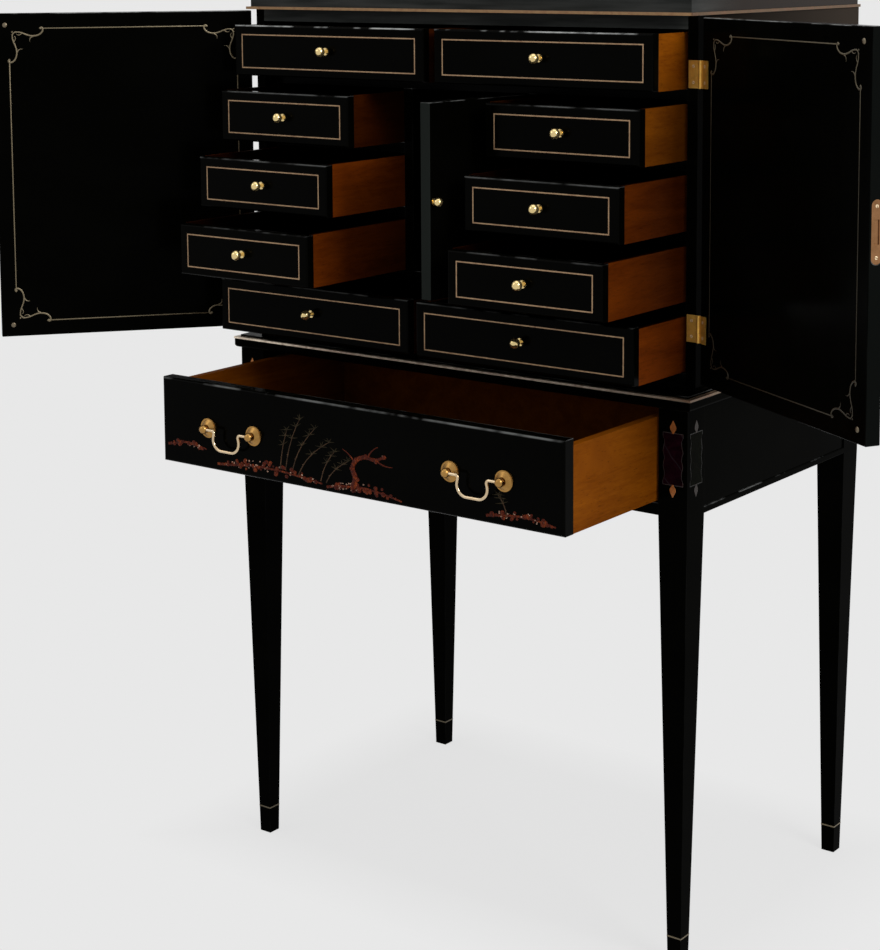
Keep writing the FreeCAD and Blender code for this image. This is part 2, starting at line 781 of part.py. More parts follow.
def door_leaves(side, side_name):
    """The leaves on a door's inner face, with the middle knuckle of each hinge."""
    pieces = []
    for hinge, level in HINGE_LEVELS:
        name = f"door_leaf_{side_name}_{hinge}"
        face_y = f"-{LEAF_STACK}"
        plate, heads = leaf(name, side, face_y, level)
        middle = (f"{level} + {THIRD} + knuckle_gap", f"{THIRD} - 2 * knuckle_gap")
        barrel = knuckle(name + "_knuckle", side, middle, face_y)
        whole = fuse(name + "_whole", [plate, barrel])
        pieces += [cut(name, whole, [pin_hole(name + "_bore", level)])] + heads
    item = group(f"hinge_leaves_{side_name}", pieces)
    return swing(item, door_pin(side), door_turn(side))


def case_leaves(side, side_name):
    """The leaves on the carcass's front edge, with the end knuckles, the pin and the screws."""
    pieces = []
    for hinge, level in HINGE_LEVELS:
        name = f"case_leaf_{side_name}_{hinge}"
        face_y = "leaf_gap / 2"
        plate, heads = leaf(name, side, face_y, level)
        knuckles = [
            knuckle(f"{name}_knuckle_{end}", side, (start, THIRD), face_y)
            for end, start in (("low", level), ("high", f"{level} + 2 * {THIRD}"))
        ]
        whole = fuse(name + "_whole", [plate] + knuckles)
        pin = rod(name + "_pin", "pin_radius", "hinge_height", ("0", "0", level))
        pieces += [cut(name, whole, [pin_hole(name + "_bore", level)]), pin] + heads
    compound = doc.addObject("Part::Compound", f"case_leaves_{side_name}")
    compound.Links = pieces
    return place(compound, door_pin(side))


# Lock, strike and main doors, drawn round the pin with the door closed
LOCK_Y = f"(-{LEAF_STACK} - door_thickness / 2)"
LOCK_STRAIGHT = "(lock_height - lock_width)"


def edge_plate(name, side, spare="0"):
    """A plate with round ends, let into a door's free end; spare enlarges it for its recess."""
    radius = f"(lock_width / 2 + {spare})"
    depth = f"(lock_plate + {spare})"
    x = low(-side, f"{DOOR_END} - {depth}", depth)
    middle = f"({LOCK_LEVEL} - {LOCK_STRAIGHT} / 2)"
    corner = (x, f"{LOCK_Y} - {radius}", middle)
    pieces = [board(f"{name}_straight", (depth, f"2 * {radius}", LOCK_STRAIGHT), corner)]
    for index in (0, 1):
        start = (x, LOCK_Y, f"{middle} + {index} * {LOCK_STRAIGHT}")
        pieces.append(rod(f"{name}_end_{index}", radius, depth, start, "x"))
    return fuse(name, pieces)


def slot(name, side, depth):
    x = low(-side, f"{DOOR_END} - {depth}", depth)
    corner = (x, f"{LOCK_Y} - slot_width / 2", f"{LOCK_LEVEL} - slot_height / 2")
    return board(name, (depth, "slot_width", "slot_height"), corner)


def plate_screws(name, side):
    """Places of the two screws of an edge plate, as holes and heads."""
    holes = []
    heads = []
    for index, sign in enumerate((-1, 1)):
        height = f"{LOCK_LEVEL} + {sign} * (lock_height / 2 - lock_screw_from_end)"
        start = (low(-side, f"{DOOR_END} - lock_plate", "lock_plate"), LOCK_Y, height)
        hole_radius = "screw_radius + screw_clearance"
        holes.append(rod(f"{name}_hole_{index}", hole_radius, "lock_plate", start, "x"))
        heads.append(rod(f"{name}_screw_{index}", "screw_radius", "lock_plate", start, "x"))
    return holes, heads


def lock_case(name, side, spare="0"):
    depth = f"(lock_case_depth + {spare})"
    width = f"(lock_case_width + 2 * {spare})"
    height = f"(lock_case_height + 2 * {spare})"
    x = low(-side, f"{DOOR_END} - lock_plate - {depth}", depth)
    corner = (x, f"{LOCK_Y} - {width} / 2", f"{LOCK_LEVEL} - {height} / 2")
    return board(name, (depth, width, height), corner)


def door_lock():
    """The right door's lock: edge plate, case behind it, two screws, and the outer escutcheon."""
    side = 1
    holes, heads = plate_screws("lock", side)
    plate = cut("lock_plate", edge_plate("lock_blank", side), [slot("lock_slot", side, "lock_plate")] + holes)
    key_x = low(-side, f"{DOOR_END} - lock_case_depth / 2", "0")
    face = (key_x, f"-{LEAF_STACK} - door_thickness", LOCK_LEVEL)
    disc = rod("escutcheon_disc", "escutcheon_radius", "escutcheon_thickness", face, "-y")
    keyhole = rod("escutcheon_hole", "keyhole_radius", "escutcheon_thickness", face, "-y")
    escutcheon = cut("escutcheon", disc, [keyhole])
    item = group("door_lock", [plate, lock_case("lock_box", side), escutcheon] + heads)
    return swing(item, door_pin(side), door_turn(side))


def strike_plate():
    """The plate in the left door's free end that the lock's bolt enters."""
    side = -1
    holes, heads = plate_screws("strike", side)
    bolt_slot = slot("strike_slot", side, "lock_plate")
    plate = cut("strike_drilled", edge_plate("strike_blank", side), [bolt_slot] + holes)
    item = group("strike_plate", [plate] + heads)
    return swing(item, door_pin(side), door_turn(side))


def main_door(side, side_name):
    """An overlay door with eased edges, recessed for its edge plate, and for the lock on the right."""
    name = f"door_{side_name}"
    x = low(-side, DOOR_START, "door_width")
    panel = block(
        f"{name}_panel",
        ("door_width", "door_thickness", "door_height"),
        (x, f"-{LEAF_STACK} - door_thickness", "0"),
    )
    rounded(panel, "door_rounding")
    recesses = [edge_plate(f"{name}_recess", side, "lock_clearance")]
    if side > 0:
        recesses.append(lock_case(f"{name}_mortise", side, "lock_clearance"))
    else:
        recesses.append(slot(f"{name}_bolt_hole", side, "(lock_plate + lock_case_depth / 2)"))
    door = cut(name + "_cut", panel, recesses)
    return swing(node(door, name), door_pin(side), door_turn(side))


# Centre door, drawn round its own pin with the door closed
CENTER_HINGES = (
    ("lower", "center_hinge_from_end"),
    ("upper", f"({CENTER_HEIGHT} - center_hinge_from_end - center_hinge_height)"),
)
CENTER_THIRD = "(center_hinge_height / 3)"
CENTER_PIN_PLACE = (CENTER_PIN_X, CENTER_PIN_Y, CENTER_LEVEL)


def center_leaf(name, side, level, knuckles):
    """A leaf on the front faces beside the pin, with its knuckles; side -1 is the door's."""
    face_y = f"({CENTER_PIN_FRONT} - center_leaf_thickness)"
    start = CENTER_PIN_FRONT
    plate_size = ("center_leaf_width", "center_leaf_thickness", "center_hinge_height")
    parts = [board(name + "_plate", plate_size, (low(side, start, "center_leaf_width"), face_y, level))]
    for index, (bottom, length) in enumerate(knuckles):
        tab_size = (start, "center_leaf_thickness", length)
        parts.append(board(f"{name}_tab_{index}", tab_size, (low(side, "0", start), face_y, bottom)))
        parts.append(rod(f"{name}_barrel_{index}", "center_knuckle", length, ("0", "0", bottom)))
    bore = rod(name + "_bore", "center_pin + pin_clearance", "center_hinge_height", ("0", "0", level))
    return cut(name, fuse(name + "_whole", parts), [bore])


def center_hinges():
    fixed = []
    moving = []
    for hinge, level in CENTER_HINGES:
        ends = [(level, CENTER_THIRD), (f"{level} + 2 * {CENTER_THIRD}", CENTER_THIRD)]
        middle = [(f"{level} + {CENTER_THIRD} + knuckle_gap", f"{CENTER_THIRD} - 2 * knuckle_gap")]
        fixed.append(center_leaf(f"center_fixed_{hinge}", 1, level, ends))
        fixed.append(rod(f"center_pin_{hinge}", "center_pin", "center_hinge_height", ("0", "0", level)))
        moving.append(center_leaf(f"center_moving_{hinge}", -1, level, middle))
    place(group("center_door_hinges", fixed), CENTER_PIN_PLACE)
    return moving


def center_door():
    panel = block(
        "center_door_panel",
        (CENTER_WIDTH, "center_thickness", CENTER_HEIGHT),
        (low(-1, CENTER_START, CENTER_WIDTH), CENTER_PIN_FRONT, "0"),
    )
    rounded(panel, "door_rounding", lambda x, y, z: y == 0 or x == 0)
    swing(node(panel, "center_door"), CENTER_PIN_PLACE, "center_door_angle")
    knob_x = f"(center_knob_inset - {CENTER_START} - {CENTER_WIDTH})"
    turned = knob("center_knob", (knob_x, CENTER_PIN_FRONT, f"{CENTER_HEIGHT} / 2"), "center_knob")
    fittings = group("center_door_knob_and_leaves", [turned] + center_hinges())
    swing(fittings, CENTER_PIN_PLACE, "center_door_angle")


# The whole cabinet
def build():
    fill_sheet()
    legs()
    side_aprons()
    back_apron()
    front_rail()
    drawer_runners()
    stand_top()
    stand_bead()
    carcass()
    case_uprights()
    case_shelves()
    cornice()
    for drawer in SMALL_DRAWERS:
        small_drawer(*drawer)
    long_drawer()
    bail_posts()
    for side, side_name in SIDES:
        bail(f"bail_{side_name}", side)
        main_door(side, side_name)
        door_leaves(side, side_name)
    group("case_hinges", [case_leaves(side, side_name) for side, side_name in SIDES])
    door_lock()
    strike_plate()
    center_door()
    doc.recompute()


def check():
    for item in doc.Objects:
        bad = {"Invalid", "Error"} & set(item.State)
        if bad:
            raise RuntimeError(f"{item.Name} is {bad}")
    for item in NODES:
        shape = item.Shape
        if shape.isNull() or not shape.isValid() or not shape.Solids:
            raise RuntimeError(f"{item.Label} has no sound solid")


def export():
    os.makedirs("parts", exist_ok=True)
    for item in NODES:
        item.Shape.exportStep(os.path.join("parts", item.Label + ".step"))


build()
check()
export()
print(len(NODES), "nodes,", sum(len(item.Shape.Solids) for item in NODES), "solids")
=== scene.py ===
"""Dresses the lacquered cabinet on its stand: finishes, gilding, raised work, studio and camera."""
import math

import bpy
from bpy.props import FloatProperty, FloatVectorProperty, PointerProperty
from bpy.types import Operator, Panel, PropertyGroup
from mathutils import Matrix, Vector


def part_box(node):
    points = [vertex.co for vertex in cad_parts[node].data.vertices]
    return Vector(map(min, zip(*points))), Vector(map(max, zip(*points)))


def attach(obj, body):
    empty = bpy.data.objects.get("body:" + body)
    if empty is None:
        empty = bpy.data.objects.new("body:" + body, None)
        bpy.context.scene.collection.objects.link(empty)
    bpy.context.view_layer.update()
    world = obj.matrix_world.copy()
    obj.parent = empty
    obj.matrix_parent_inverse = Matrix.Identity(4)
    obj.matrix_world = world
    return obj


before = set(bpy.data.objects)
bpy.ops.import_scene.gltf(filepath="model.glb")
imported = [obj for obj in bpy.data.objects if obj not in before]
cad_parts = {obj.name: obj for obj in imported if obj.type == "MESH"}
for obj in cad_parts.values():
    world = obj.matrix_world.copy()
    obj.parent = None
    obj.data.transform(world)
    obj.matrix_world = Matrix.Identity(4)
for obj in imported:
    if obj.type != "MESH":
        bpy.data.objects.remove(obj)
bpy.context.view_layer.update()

bl_info = {
    "name": "Lacquered cabinet on a stand",
    "version": (1, 0, 0),
    "blender": (4, 5, 0),
    "location": "View3D > Sidebar > Cabinet",
    "description": "Finishes, gilding, raised work, studio and camera of the cabinet",
    "category": "Object",
}

ROWS = ("top", "bottom", "upper", "middle", "lower")
HANDS = {"left": -1, "right": 1}


# Sizes and colours that a user changes

def length(name, words, size):
    return FloatProperty(name=name, description=words, default=size, min=0.0, precision=5,
                         subtype="DISTANCE", unit="LENGTH")


def opening(name, words, degrees):
    return FloatProperty(name=name, description=words, default=math.radians(degrees), subtype="ANGLE")


def amount(name, words, start):
    return FloatProperty(name=name, description=words, default=start)


def linear(level):
    """One 0-255 screen level as the linear value that the shaders use."""
    share = level / 255
    return share / 12.92 if share <= 0.04045 else ((share + 0.055) / 1.055) ** 2.4


def colour(name, words, *levels):
    return FloatVectorProperty(name=name, description=words, subtype="COLOR", size=3, min=0.0,
                               max=1.0, default=tuple(linear(level) for level in levels))


class CabinetTrim(PropertyGroup):
    """Sizes of the gilding and of the raised work."""
    proud: length("Gilding thickness", "How far the gilding stands out from the lacquer", 0.0003)
    line: length("Stringing width", "Width of the gilt line on the drawer fronts", 0.0018)
    line_side: length("Stringing side margin", "From the end of a front to its gilt line", 0.015)
    line_below: length("Stringing lower margin", "From the foot of a front to its line", 0.0115)
    line_above: length("Stringing upper margin", "From the top of a front to its line", 0.0138)
    border: length("Door border margin", "From the edge of a door to its border line", 0.0235)
    border_line: length("Door border width", "Width of the door border's line", 0.0015)
    corner: length("Corner scroll reach", "Length that a corner scroll takes from each line", 0.047)
    stud: length("Stud radius", "Radius of the domed brass studs on the doors", 0.0038)
    stud_side: length("Stud side margin", "From a door's free edge to its studs", 0.018)
    stud_end: length("Stud end margin", "From a door's top or bottom to its studs", 0.018)
    hinge: length("Hinge height", "Height of a door hinge", 0.038)
    screw: length("Screw radius", "Radius of the hinges' and the lock's screw heads", 0.0022)
    screw_in: length("Hinge screw distance", "From a hinge's pin to its screws", 0.011)
    screw_end: length("Hinge screw margin", "From a leaf's end to its screws", 0.008)
    lock_screw_out: length("Lock screw distance", "From the lock's middle to its screws", 0.031)
    band: length("Foot band height", "Height of the gilt band round a foot", 0.0022)
    band_level: length("Foot band level", "Height of the foot band above the floor", 0.0425)
    post: length("Post width", "Width of the stand's posts above the legs' taper", 0.046)
    panel_width: length("Corner panel width", "Width of the painted panels on the posts", 0.033)
    panel_height: length("Corner panel height", "Height of the painted panels", 0.074)
    panel_middle: length("Corner panel level", "Height of their middles above the floor", 0.736)


class CabinetFinish(PropertyGroup):
    """Colours of the finishes."""
    lacquer: colour("Lacquer", "Black lacquer of the case, doors and stand", 2, 2, 1)
    # The case's sides pass from black at the front to this brown at the back, a painted shade of the open
    # doors
    lacquer_warm: colour("Warm lacquer", "Sun-faded lacquer of the case's outside", 56, 49, 43)
    # Its lighter shares are painted light: reflections on the cornice and the top rail, and the lit end faces
    # of the right and the centre doors
    lacquer_green_and_painted_light: colour("Green lacquer", "Lacquer of the cornice and the centre door", 27, 30, 28)
    # The rubbed colour is also the painted highlight on the arrises and, in the clouds of the cornice and the
    # top rail, a painted reflection
    lacquer_worn_and_highlight: colour("Rubbed lacquer", "Lacquer where an arris is rubbed", 176, 178, 176)
    gilt: colour("Gilding", "Gilt bead under the cornice", 155, 122, 86)
    # Painted highlight: the stand bead's near-white colour stands in for the light that it catches
    gilt_highlight: colour("Pale gilding", "Rubbed gilt bead of the stand", 252, 236, 214)
    gilt_line: colour("Gilt stringing", "Gilt lines on the drawer fronts", 168, 138, 106)
    gilt_worn: colour("Rubbed gilding", "Gilding where the red ground shows", 126, 78, 50)
    gilt_dim: colour("Old gilding", "Thinner, greyer gilding of the doors", 124, 112, 88)
    gilt_grey: colour("Grey gilding", "Lines round the painted panels", 56, 55, 58)
    bud: colour("Buds", "Gilt buds over and under the painted panels", 196, 122, 62)
    brass: colour("Brass", "Rosettes and studs", 196, 150, 84)
    knob: colour("Knob brass", "Paler brass of the knobs", 200, 184, 156)
    hinge: colour("Hinge brass", "Yellow brass of the hinges", 226, 176, 80)
    brass_dull: colour("Dull brass", "Brass in its hollows", 92, 60, 22)
    wire: colour("Bail brass", "Paler brass of the bails", 212, 191, 158)
    screw: colour("Screw brass", "Bright heads of the screws", 250, 222, 180)
    copper: colour("Lock brass", "Redder brass of the lock and its strike", 148, 106, 70)
    drawer_pale: colour("Drawer wood, pale", "Pale figure of the small drawers' wood", 138, 64, 8)
    drawer_dark: colour("Drawer wood, dark", "Dark figure of the small drawers' wood", 86, 32, 3)
    long_pale: colour("Long drawer wood, pale", "Pale figure of the long drawer", 142, 78, 8)
    long_dark: colour("Long drawer wood, dark", "Dark figure of the long drawer", 96, 44, 4)
    shell_red: colour("Panel red", "Red of the marbled front panels", 32, 8, 18)
    shell_green: colour("Panel green", "Green of the marbled side panels", 18, 20, 9)
    relief: colour("Raised work", "Red-brown ground of the raised work", 72, 20, 8)
    relief_tip: colour("Raised work tips", "Gold rubbed on the raised work", 138, 62, 26)
    # Painted highlights: pale beads on the crowns of the banks and on the stump
    fleck: colour("Flecks", "Pale flecks on the raised work", 206, 164, 140)
    twig: colour("Canes", "Thin painted canes", 96, 72, 52)
    leaf: colour("Leaves", "Painted leaves", 64, 56, 38)
    floor: colour("Floor", "Studio floor and background", 232, 232, 232)


class CabinetStudio(PropertyGroup):
    """Camera and light."""
    place: FloatVectorProperty(name="Camera place", description="Where the camera stands", size=3,
                               subtype="TRANSLATION", unit="LENGTH", default=(1.8322, -2.6941, 1.4282))
    turn: FloatVectorProperty(name="Camera turn", description="How the camera is turned", size=3,
                              subtype="EULER", unit="ROTATION",
                              default=tuple(math.radians(a) for a in (83.2651, 0.3443, 37.1075)))
    lens: amount("Lens", "Focal length in mm for a 36 mm frame", 85.73)
    rise: amount("Lens rise", "Vertical shift of the lens", -0.3125)
    sky: amount("Room light", "Level of the light from all round", 0.36)
    key: amount("Key lamp", "Power of the lamp at the right", 84.0)
    fill: amount("Fill lamp", "Power of the lamp at the left", 20.0)
    top: amount("Top lamp", "Power of the lamp overhead", 14.0)
    left_angle: opening("Left door angle", "How far the left door stands open", 129.0)
    right_angle: opening("Right door angle", "How far the right door stands open", 149.5)
    centre_angle: opening("Centre door angle", "How far the centre door stands open", 86.0)


# Shader trees

# Shares of the rubbed colour in a speck of dust and in the haze of a plain polished face; the larger hazes of
# the cornice and the top rail are painted reflections
DUST, HAZE = 0.003, 0.0012
# How far under a face a colour for that face alone starts, and where it is full
UNDER_FACE = (0.0006, 0.0002)
# The floor's faint shadow: its share, and from where to where it ends across and in depth
SHADOW, SHADOW_ACROSS, SHADOW_DEEP = 0.13, (0.40, 0.56), (0.24, 0.40)


def feed(tree, node, values):
    """Links a node's inputs to sockets and sets the others to values."""
    for key, value in values.items():
        if isinstance(value, bpy.types.NodeSocket):
            tree.links.new(value, node.inputs[key])
        else:
            node.inputs[key].default_value = value


def add(tree, kind, values=None, **settings):
    """The outputs of a new shader node with those settings and inputs."""
    made = tree.nodes.new("ShaderNode" + kind)
    for key, value in settings.items():
        setattr(made, key, value)
    feed(tree, made, values or {})
    return made.outputs


def maths(tree, kind, first, second=0.0):
    return add(tree, "Math", {0: first, 1: second}, operation=kind)[0]


def times(tree, first, second):
    return maths(tree, "MULTIPLY", first, second)


def part_of(tree, vector, axis):
    """One coordinate of a place or a direction."""
    return add(tree, "SeparateXYZ", {0: vector})[axis]


def along(tree, vector, way):
    """How far a place or a direction reaches along another."""
    return add(tree, "VectorMath", {0: vector, 1: way}, operation="DOT_PRODUCT")["Value"]


def spread(tree, value, low, high, start=0.0, end=1.0):
    """Values from low to high stretched over start to end."""
    return add(tree, "MapRange", {"Value": value, "From Min": low, "From Max": high, "To Min": start,
                                  "To Max": end})["Result"]


def between(tree, mask, start, end):
    """A mask from 0 to 1 as a value from start to end."""
    return spread(tree, mask, 0.0, 1.0, start, end)


def mixed(tree, share, under, over):
    """One colour passing into another."""
    return add(tree, "Mix", {0: share, 6: under, 7: over}, data_type="RGBA")[2]


def laid(tree, mask, share, under, over):
    """One colour laid over another by a share of the mask."""
    return mixed(tree, times(tree, mask, share), under, over)


def noise(tree, place, scale, detail=2.0, rough=0.5, twist=0.0):
    return add(tree, "TexNoise", {"Vector": place, "Scale": scale, "Detail": detail, "Roughness": rough,
                                  "Distortion": twist})["Fac"]


def stretched(tree, place, scale):
    return add(tree, "Mapping", {"Vector": place, "Scale": scale})["Vector"]


def new_group(name, **inputs):
    """A shader group and what its input node gives; an input without a start value is a vector."""
    tree = bpy.data.node_groups.new(name, "ShaderNodeTree")
    for label, start in inputs.items():
        kind = "NodeSocketVector" if start is None else "NodeSocketFloat"
        socket = tree.interface.new_socket(label, in_out="INPUT", socket_type=kind)
        if start is not None:
            socket.default_value = start
    return tree, tree.nodes.new("NodeGroupInput").outputs


def put_out(tree, **results):
    """The group's outputs, each with its value."""
    for label in results:
        tree.interface.new_socket(label, in_out="OUTPUT", socket_type="NodeSocketFloat")
    feed(tree, tree.nodes.new("NodeGroupOutput"), results)


def use_group(tree, name, **values):
    """What a shader group gives for those values."""
    return add(tree, "Group", values, node_tree=bpy.data.node_groups[name])


def arris_group():
    """Rubbed arrises and painted highlights: strongest on edges that look up, where the light catches them,
    sharp or rounded, broken by a noise.
    """
    tree, given = new_group("Rubbed arris", Vector=None, Width=0.0022, Breaks=14.0, Rounded=1.0)
    rounded = add(tree, "Bevel", {"Radius": given["Width"]}, samples=5)[0]
    surface = add(tree, "NewGeometry")["Normal"]
    edge = spread(tree, along(tree, rounded, surface), 0.995, 0.82)
    # Painted highlight: edges that face up are lighter, as the light falls from above
    lit_from_above = times(tree, edge, spread(tree, part_of(tree, rounded, "Z"), 0.1, 0.6, 0.04, 1.0))
    tilt = part_of(tree, surface, "Z")
    oblique = times(tree, spread(tree, tilt, 0.25, 0.6), spread(tree, tilt, 0.99, 0.85))
    both = maths(tree, "MAXIMUM", lit_from_above, times(tree, oblique, given["Rounded"]))
    patches = noise(tree, given["Vector"], given["Breaks"], 3.0, 0.6)
    put_out(tree, Mask=times(tree, both, spread(tree, patches, 0.44, 0.60)))


def recess_group():
    """Recesses where dirt gathers and shade falls, for tarnish in brass hollows and painted shade inside the
    drawers: 1 deep inside, 0 in the open.
    """
    tree, given = new_group("Recess", Reach=0.08)
    around = add(tree, "AmbientOcclusion", {"Distance": given["Reach"]}, samples=6, only_local=True)
    put_out(tree, Mask=spread(tree, around["AO"], 0.2, 0.85, 1.0, 0.0))


def skin_group():
    """Hand-laid lacquer: slow ripples, fine rubbing, a little dust, and clouds in the polish."""
    tree, given = new_group("Lacquer skin", Vector=None, Ripples=9.0)
    place = given["Vector"]
    slow = noise(tree, place, given["Ripples"], 1.5, 0.4)
    peel = noise(tree, place, 520.0, 1.0)
    rubbing = noise(tree, stretched(tree, place, (60.0, 60.0, 9.0)), 1.0, 4.0, 0.65)
    drift = noise(tree, place, 5.0, 3.0, 0.55, 0.6)
    specks = spread(tree, noise(tree, place, 850.0, 1.0), 0.70, 0.78)
    cloud = noise(tree, stretched(tree, place, (4.0, 4.0, 9.0)), 1.0, 2.0)
    put_out(tree, Height=maths(tree, "ADD", slow, times(tree, peel, 0.03)),
            Haze=times(tree, spread(tree, rubbing, 0.3, 0.75), spread(tree, drift, 0.25, 0.7)),
            Dust=times(tree, specks, spread(tree, drift, 0.45, 0.7)), Cloud=spread(tree, cloud, 0.35, 0.65))


def metal_group():
    """Cast and polished metal: tarnish in patches, fine scuffs, a soft hand-filed surface."""
    tree, given = new_group("Handled metal", Vector=None, Patches=60.0)
    place = given["Vector"]
    patches = noise(tree, place, given["Patches"], 4.0, 0.6, 0.4)
    scuffs = noise(tree, stretched(tree, place, (900.0, 240.0, 240.0)), 1.0, 3.0, 0.6)
    filed = noise(tree, place, 380.0)
    put_out(tree, Tarnish=spread(tree, patches, 0.42, 0.72), Scuffs=spread(tree, scuffs, 0.3, 0.75),
            Height=maths(tree, "ADD", filed, times(tree, scuffs, 0.35)))


def grain_group():
    """Straight-grained board: broad figure, fibres and open pores along the stretched axis."""
    tree, given = new_group("Board grain", Vector=None, Along=None)
    turned = add(tree, "VectorMath", {0: given["Vector"], 1: given["Along"]}, operation="MULTIPLY")[0]
    figure = spread(tree, noise(tree, turned, 1.0, 5.0, 0.62, 0.9), 0.3, 0.7)
    fibres = noise(tree, turned, 9.0, 3.0, 0.7)
    pores = spread(tree, noise(tree, turned, 22.0, 2.0, 0.6), 0.62, 0.70)
    fine = times(tree, spread(tree, fibres, 0.3, 0.7), 0.32)
    put_out(tree, Figure=maths(tree, "ADD", times(tree, figure, 0.68), fine), Pores=pores,
            Height=maths(tree, "SUBTRACT", fibres, pores))


def new_finish(name):
    """A material, its tree and its object coordinates."""
    finish = bpy.data.materials.new(name)
    finish.use_nodes = True
    return finish, finish.node_tree, add(finish.node_tree, "TexCoord")["Object"]


def join_up(finish, values, height, strength, depth):
    """The shader gets its values, and the surface its relief."""
    tree = finish.node_tree
    bump = add(tree, "Bump", {"Height": height, "Strength": strength, "Distance": depth})["Normal"]
    feed(tree, tree.nodes["Principled BSDF"], {**values, "Normal": bump})
    return finish


def faded(tree, place, base, fade):
    """One colour passing into another along a direction; fade is direction, start, end, colour."""
    way, start, end, tint = fade
    return mixed(tree, spread(tree, along(tree, place, way), start, end), base, tint)


def lacquer(name, base, worn_and_highlight, sheen, smooth, wear_and_highlight, ripples, fade=None, haze_and_reflection=HAZE, reflection_streaks=None):
    """Polished lacquer over wood, rubbed and with a painted highlight at its arrises; its cloudy haze, drawn
    out along a moulding, is partly a painted reflection.
    """
    finish, tree, place = new_finish(name)
    drawn = stretched(tree, place, reflection_streaks) if reflection_streaks else place
    skin = use_group(tree, "Lacquer skin", Vector=drawn, Ripples=ripples)
    arris = use_group(tree, "Rubbed arris", Vector=place)
    # Clouds of the rubbed colour: a faint haze, and on the cornice and the top rail a painted reflection
    tint = laid(tree, skin["Cloud"], haze_and_reflection, base, worn_and_highlight)
    if fade:
        tint = faded(tree, place, tint, fade)
    tint = laid(tree, skin["Dust"], DUST, tint, worn_and_highlight)
    # Wear and painted highlight on the arrises
    tint = laid(tree, arris["Mask"], wear_and_highlight, tint, worn_and_highlight)
    rough = between(tree, skin["Haze"], smooth, smooth + 0.12)
    return join_up(finish, {"Base Color": tint, "Roughness": rough, "Specular IOR Level": sheen},
                   skin["Height"], 0.35, 0.0006)


def gilding(name, leaf, ground, patches, fade=None):
    """Gold leaf line, rubbed to its ground in patches."""
    finish, tree, place = new_finish(name)
    if fade:
        leaf = faded(tree, place, leaf, fade)
    age = use_group(tree, "Handled metal", Vector=place, Patches=patches)
    rubbed = times(tree, age["Tarnish"], 0.55)
    return join_up(finish, {"Base Color": mixed(tree, rubbed, leaf, ground),
                            "Roughness": between(tree, age["Scuffs"], 0.30, 0.48),
                            "Metallic": between(tree, rubbed, 0.62, 0.2)}, age["Height"], 0.3, 0.0002)


def metal(name, bright, dull, smooth, patches, tarnish, shine=1.0):
    """Handled brass, dull in its hollows with tarnish and painted shade, scuffed where it is touched, and
    lighter at its edges, partly as a painted highlight.
    """
    finish, tree, place = new_finish(name)
    age = use_group(tree, "Handled metal", Vector=place, Patches=patches)
    arris = use_group(tree, "Rubbed arris", Vector=place, Width=0.0011, Breaks=200.0, Rounded=0.0)
    recess = use_group(tree, "Recess", Reach=0.003)
    tint = laid(tree, age["Tarnish"], tarnish, bright, dull)
    # Dull in the hollows: tarnish, and painted shade in narrow gaps
    tint = laid(tree, recess["Mask"], 0.7, tint, dull)
    # Lighter rubbed edges, partly a painted highlight on edges that face up
    tint = laid(tree, arris["Mask"], 0.8, tint, shade(bright, 1.5))
    rough = between(tree, age["Scuffs"], smooth, smooth + 0.16)
    return join_up(finish, {"Base Color": tint, "Roughness": rough, "Metallic": shine}, age["Height"],
                   0.25, 0.0003)


def board(name, pale, dark, fibres, depth, tone=1.0, sides=None):
    """Oiled drawer wood in one drawer's own lightness, which is partly painted light and shade, with painted
    shade in its recesses and near black between its outer sides.
    """
    finish, tree, place = new_finish(name)
    pale, dark = shade(pale, tone), shade(dark, tone)
    grain = use_group(tree, "Board grain", Vector=place, Along=fibres)
    arris = use_group(tree, "Rubbed arris", Vector=place, Width=0.001, Breaks=80.0, Rounded=0.0)
    inside = use_group(tree, "Recess", Reach=0.10)
    mottle = spread(tree, noise(tree, place, 11.0), 0.38, 0.66, 0.0, 0.55)
    tint = mixed(tree, maths(tree, "MAXIMUM", grain["Figure"], mottle), pale, dark)
    tint = laid(tree, grain["Pores"], 0.55, tint, shade(dark, 0.45))
    # Lighter rubbed edges, partly a painted highlight
    tint = laid(tree, arris["Mask"], 0.35, tint, shade(pale, 1.5))
    # Painted shade deep inside the drawer
    tint = laid(tree, inside["Mask"], depth, tint, shade(dark, 0.12))
    if sides:
        middle, half = sides
        apart = maths(tree, "ABSOLUTE", maths(tree, "SUBTRACT", part_of(tree, place, "X"), middle))
        outer = spread(tree, apart, half - UNDER_FACE[0], half - UNDER_FACE[1])
        tint = mixed(tree, outer, shade(dark, 0.10), tint)
    rough = between(tree, grain["Figure"], 0.42, 0.6)
    return join_up(finish, {"Base Color": tint, "Roughness": rough, "Specular IOR Level": 0.015},
                   grain["Height"], 0.3, 0.0003)


def marbling(name, ground, cloud, vein):
    """Dark marbled panel with thin veins running down it."""
    finish, tree, place = new_finish(name)
    clouds = noise(tree, place, 70.0, 4.0, 0.6, 1.2)
    bands = add(tree, "TexWave", {"Vector": stretched(tree, place, (1.0, 1.0, 0.75)), "Scale": 17.0,
                                  "Distortion": 3.2, "Detail": 2.0, "Detail Scale": 1.2},
                bands_direction="DIAGONAL")["Fac"]
    tint = mixed(tree, spread(tree, clouds, 0.35, 0.68), ground, cloud)
    tint = laid(tree, spread(tree, bands, 0.985, 1.0), 0.35, tint, vein)
    rough = spread(tree, clouds, 0.2, 0.8, 0.18, 0.34)
    return join_up(finish, {"Base Color": tint, "Roughness": rough, "Specular IOR Level": 0.006}, clouds,
                   0.2, 0.0002)


